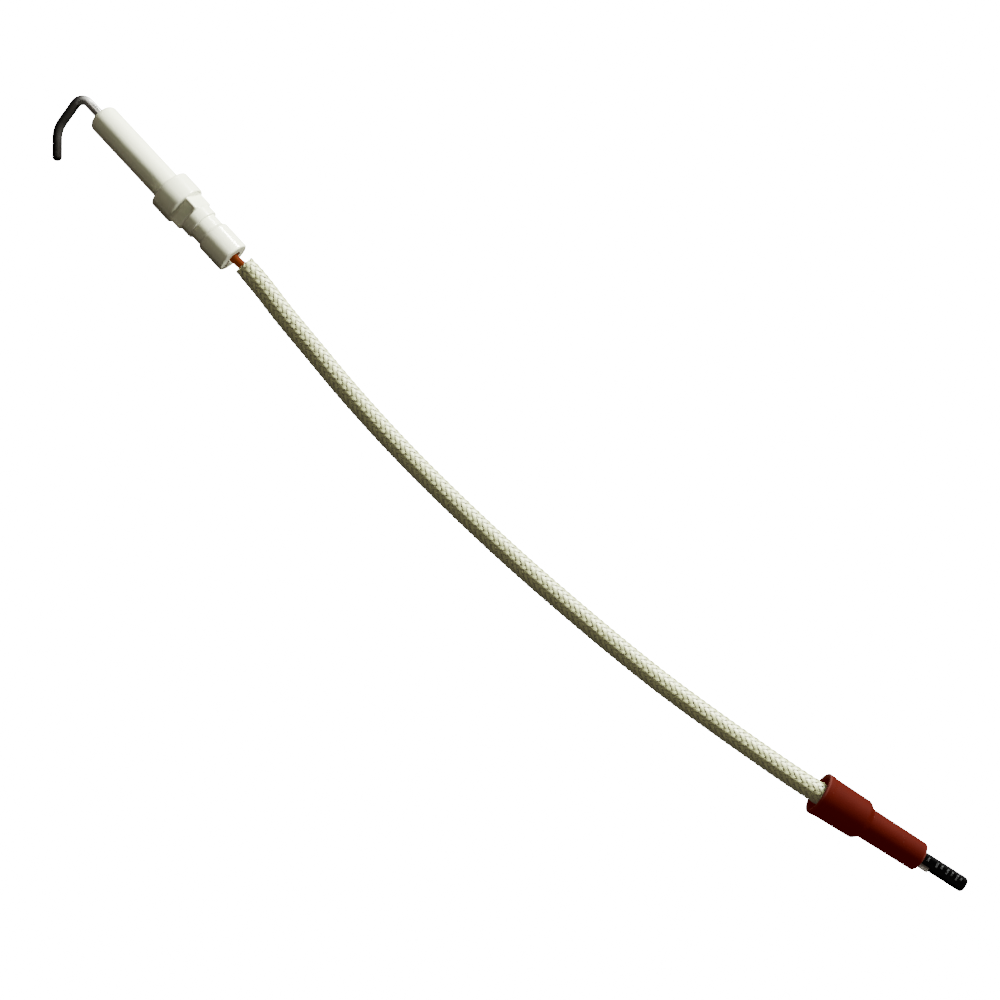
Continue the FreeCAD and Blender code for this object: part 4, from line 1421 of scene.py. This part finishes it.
class ELECTRODE_OT_build_terminal(Operator):
    """Build the crimped receptacle from sheet metal"""

    bl_idname = "electrode.build_terminal"
    bl_label = "Build Terminal"

    def execute(self, context):
        settings = context.scene.ignition_electrode.terminal
        metal = settings.metal_thickness
        rolls = rolled_receptacle(settings.width / 2, RECEPTACLE_LOW, RECEPTACLE_HIGH, metal)
        strip = [
            (-STRIP_HALF, STRIP_TOP - metal, STRIP_EDGE),
            (STRIP_HALF, STRIP_TOP - metal, STRIP_EDGE),
            (STRIP_HALF, STRIP_TOP, STRIP_EDGE),
            (-STRIP_HALF, STRIP_TOP, STRIP_EDGE),
        ]
        bars = [
            (rolls, 28.0 * MM, 39.6 * MM),
            (round_corners(strip), 17.6 * MM, 29.0 * MM),
            (closed_crimp(*SLEEVE_CRIMP[:3]), *SLEEVE_CRIMP[3:]),
            (closed_crimp(*WIRE_CRIMP[:3]), *WIRE_CRIMP[3:]),
            (wing_section(), 28.0 * MM, 31.0 * MM),
        ]
        bm = bmesh.new()
        for outline, start, end in bars:
            add_ring_surface(bm, bar_rings(outline, start, end))
        finish = plated_metal_material("tinned_brass", settings.metal_colour, roughness=0.22)
        terminal = finish_mesh("crimped_receptacle", bm, finish)
        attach(terminal, ROOT)
        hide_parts("receptacle_terminal")
        return {"FINISHED"}


# The tube's ends, its height, the corners of its section outside and inside, how far
# its end is rounded in plan and drawn down, and the split beside the boot.
TUBE_REAR, TUBE_FRONT = 26.2 * MM, 40.1 * MM
TUBE_LOW, TUBE_HIGH = -1.6 * MM, 0.65 * MM
TUBE_CORNER, TUBE_INNER_CORNER = 0.8 * MM, 0.65 * MM
TUBE_STATIONS = 46
STRAIGHT_END = 0.95 * MM
END_ROUND, END_DROP, END_STEPS = 0.9 * MM, 0.42 * MM, 9
OPENING_HALF, OPENING_CORNER = 0.85 * MM, 0.3 * MM
OPENING_LOW, OPENING_HIGH = -0.875 * MM, 0.0
OPENING_DEPTHS = (0.05 * MM, 0.45 * MM)
DENT_DEPTH = 0.015 * MM
SPLIT_OUTLINE = (
    (25.0 * MM, -3.0 * MM, 0.0),
    (31.0 * MM, -3.0 * MM, 0.0),
    (31.0 * MM, -0.9 * MM, 0.5 * MM),
    (25.0 * MM, -0.9 * MM, 0.0),
)
SPLIT_HEIGHTS = (-3 * MM, 2 * MM)


def shrink_ring(along, half, low, high, drawn_in, corner):
    """Give one ring of the tube, dented a little as it shrank on to the rolls."""
    half -= drawn_in
    low += drawn_in
    high -= drawn_in
    corners = [
        (-half, low, corner),
        (half, low, corner),
        (half, high, corner),
        (-half, high, corner),
    ]
    ring = []
    for side, height in round_corners(corners):
        wave = math.sin(along / MM * 2.3 + side / MM * 1.7) * math.sin(along / MM * 0.9)
        dent = DENT_DEPTH * (1 + wave) * (abs(side) < half * 0.98)
        toward = 1 if height < (low + high) / 2 else -1
        ring.append(beside_boot(along, side, height + toward * dent))
    return ring


def shrink_rings(settings):
    """Give the tube's rings, forwards along its outside and back along its inside."""
    half = settings.width / 2
    heights = (TUBE_LOW, TUBE_HIGH)
    run = TUBE_FRONT - STRAIGHT_END - TUBE_REAR
    stations = [TUBE_REAR + run * step / TUBE_STATIONS for step in range(TUBE_STATIONS + 1)]
    rings = [shrink_ring(along, half, *heights, 0.0, TUBE_CORNER) for along in stations]
    for step in range(1, END_STEPS + 1):
        angle = math.pi / 2 * step / END_STEPS
        along = TUBE_FRONT - END_ROUND * (1 - math.sin(angle))
        narrowed = END_ROUND * (1 - math.cos(angle))
        lowered = END_DROP * (1 - math.cos(angle)) ** 2
        end_half = half - narrowed + lowered
        rings.append(shrink_ring(along, end_half, *heights, lowered, TUBE_CORNER))
    opening = (OPENING_HALF, OPENING_LOW, OPENING_HIGH, 0.0, OPENING_CORNER)
    for depth in OPENING_DEPTHS:
        rings.append(shrink_ring(TUBE_FRONT - depth, *opening))
    for along in reversed(stations):
        rings.append(shrink_ring(along, half, *heights, settings.wall, TUBE_INNER_CORNER))
    return rings


def mark_boot_places(mesh):
    """Store each corner's distance along the boot's axis, and beside it, as its UV."""
    layer = mesh.uv_layers.new(name="UVMap")
    for loop in mesh.loops:
        offset = mesh.vertices[loop.vertex_index].co - BOOT_MOUTH
        layer.data[loop.index].uv = (offset.dot(BOOT_AXIS), offset.dot(BOOT_SIDE))


class ELECTRODE_OT_build_heat_shrink(Operator):
    """Build the flat heat-shrink tube, split beside the boot"""

    bl_idname = "electrode.build_heat_shrink"
    bl_label = "Build Heat-Shrink Tube"

    def execute(self, context):
        settings = context.scene.ignition_electrode.heat_shrink
        tube = ring_piece("heat_shrink_tube", shrink_rings(settings))
        outline = round_corners(SPLIT_OUTLINE)
        rings = [[beside_boot(*point, height) for point in outline] for height in SPLIT_HEIGHTS]
        cutter = ring_piece("split_cutter", rings, closed=False)
        opening = tube.modifiers.new("Split", "BOOLEAN")
        opening.operation = "DIFFERENCE"
        opening.solver = "EXACT"
        opening.object = cutter
        tube = baked_piece("shrunk_tube", tube)
        bpy.data.objects.remove(cutter)
        mark_boot_places(tube.data)
        finish = heat_shrink_material(settings.tube_colour, settings.mark_colour)
        tube.data.materials.clear()
        tube.data.materials.append(finish)
        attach(tube, ROOT)
        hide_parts("heat_shrink_tube")
        return {"FINISHED"}


WIDE_BORE = 4.1 * MM
NARROW_BORE = 2.4 * MM


class ELECTRODE_OT_build_boot(Operator):
    """Build the moulded silicone boot, which slides along the lead"""

    bl_idname = "electrode.build_boot"
    bl_label = "Build Boot"

    def execute(self, context):
        settings = context.scene.ignition_electrode.boot
        lip = settings.lip_diameter / 2
        body = settings.body_diameter / 2
        neck = settings.neck_diameter / 2
        tail = settings.tail_diameter / 2
        corners = [
            (0.0, WIDE_BORE, 0.3 * MM),
            (0.0, lip, 0.45 * MM),
            (1.4 * MM, lip - 0.06 * MM, 0.9 * MM),
            (2.2 * MM, lip - 0.2 * MM, 1.0 * MM),
            (11.5 * MM, body, 1.1 * MM),
            (12.9 * MM, neck, 0.35 * MM),
            (BOOT_LENGTH, tail, 0.7 * MM),
            (BOOT_LENGTH, NARROW_BORE, 0.35 * MM),
            (11.9 * MM, NARROW_BORE, 0.3 * MM),
            (10.3 * MM, WIDE_BORE, 0.3 * MM),
        ]
        outline = round_corners(corners, steps=8)
        rings = turned_rings(lambda angle: outline, beside_boot, settings.segments)
        finish = silicone_material(
            "red_silicone",
            settings,
            roughness=0.7,
            cloud_scale=130.0,
            # The boot's painted rim highlight lies beyond this half length, at both ends.
            unhighlighted_half=BOOT_LENGTH / 2,
        )
        boot = ring_piece("moulded_boot", rings, finish)
        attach(boot, BOOT)
        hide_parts("silicone_boot")
        return {"FINISHED"}


class ELECTRODE_OT_declare_lead(Operator):
    bl_idname = "electrode.declare_lead"
    bl_label = "Declare Lead"

    def execute(self, context):
        return {"FINISHED"}


# --- The panel and the add-on's own business ----------------------------------------------

BUILD_ORDER = (
    ELECTRODE_OT_build_stage,
    ELECTRODE_OT_build_lead,
    ELECTRODE_OT_build_sleeve,
    ELECTRODE_OT_build_insulator,
    ELECTRODE_OT_build_rod,
    ELECTRODE_OT_finish_joint,
    ELECTRODE_OT_build_terminal,
    ELECTRODE_OT_build_heat_shrink,
    ELECTRODE_OT_build_boot,
    ELECTRODE_OT_declare_lead,
)


class ELECTRODE_PT_panel(Panel):
    """Lists the pieces and what can be changed about them"""

    bl_idname = "ELECTRODE_PT_panel"
    bl_label = "Ignition Electrode"
    bl_space_type = "VIEW_3D"
    bl_region_type = "UI"
    bl_category = "Electrode"

    def draw(self, context):
        layout = self.layout
        for builder in BUILD_ORDER:
            layout.operator(builder.bl_idname)
        settings = context.scene.ignition_electrode
        for group_name in ElectrodeSettings.__annotations__:
            box = layout.box()
            group = getattr(settings, group_name)
            box.label(text=group_name.replace("_", " ").title())
            for name in type(group).__annotations__:
                box.prop(group, name)


CLASSES = (
    StageSettings,
    InsulatorSettings,
    RodSettings,
    JointSettings,
    LeadSettings,
    SleeveSettings,
    TerminalSettings,
    HeatShrinkSettings,
    BootSettings,
    ElectrodeSettings,
    *BUILD_ORDER,
    ELECTRODE_PT_panel,
)


def register():
    """Register the classes and hang the settings on the scene."""
    for cls in CLASSES:
        bpy.utils.register_class(cls)
    bpy.types.Scene.ignition_electrode = PointerProperty(type=ElectrodeSettings)


def unregister():
    """Take the settings off the scene and unregister the classes."""
    del bpy.types.Scene.ignition_electrode
    for cls in reversed(CLASSES):
        bpy.utils.unregister_class(cls)


def main():
    """Build everything in order."""
    register()
    for builder in BUILD_ORDER:
        name = builder.bl_idname.split(".")[1]
        getattr(bpy.ops.electrode, name)()


if __name__ == "__main__":
    main()
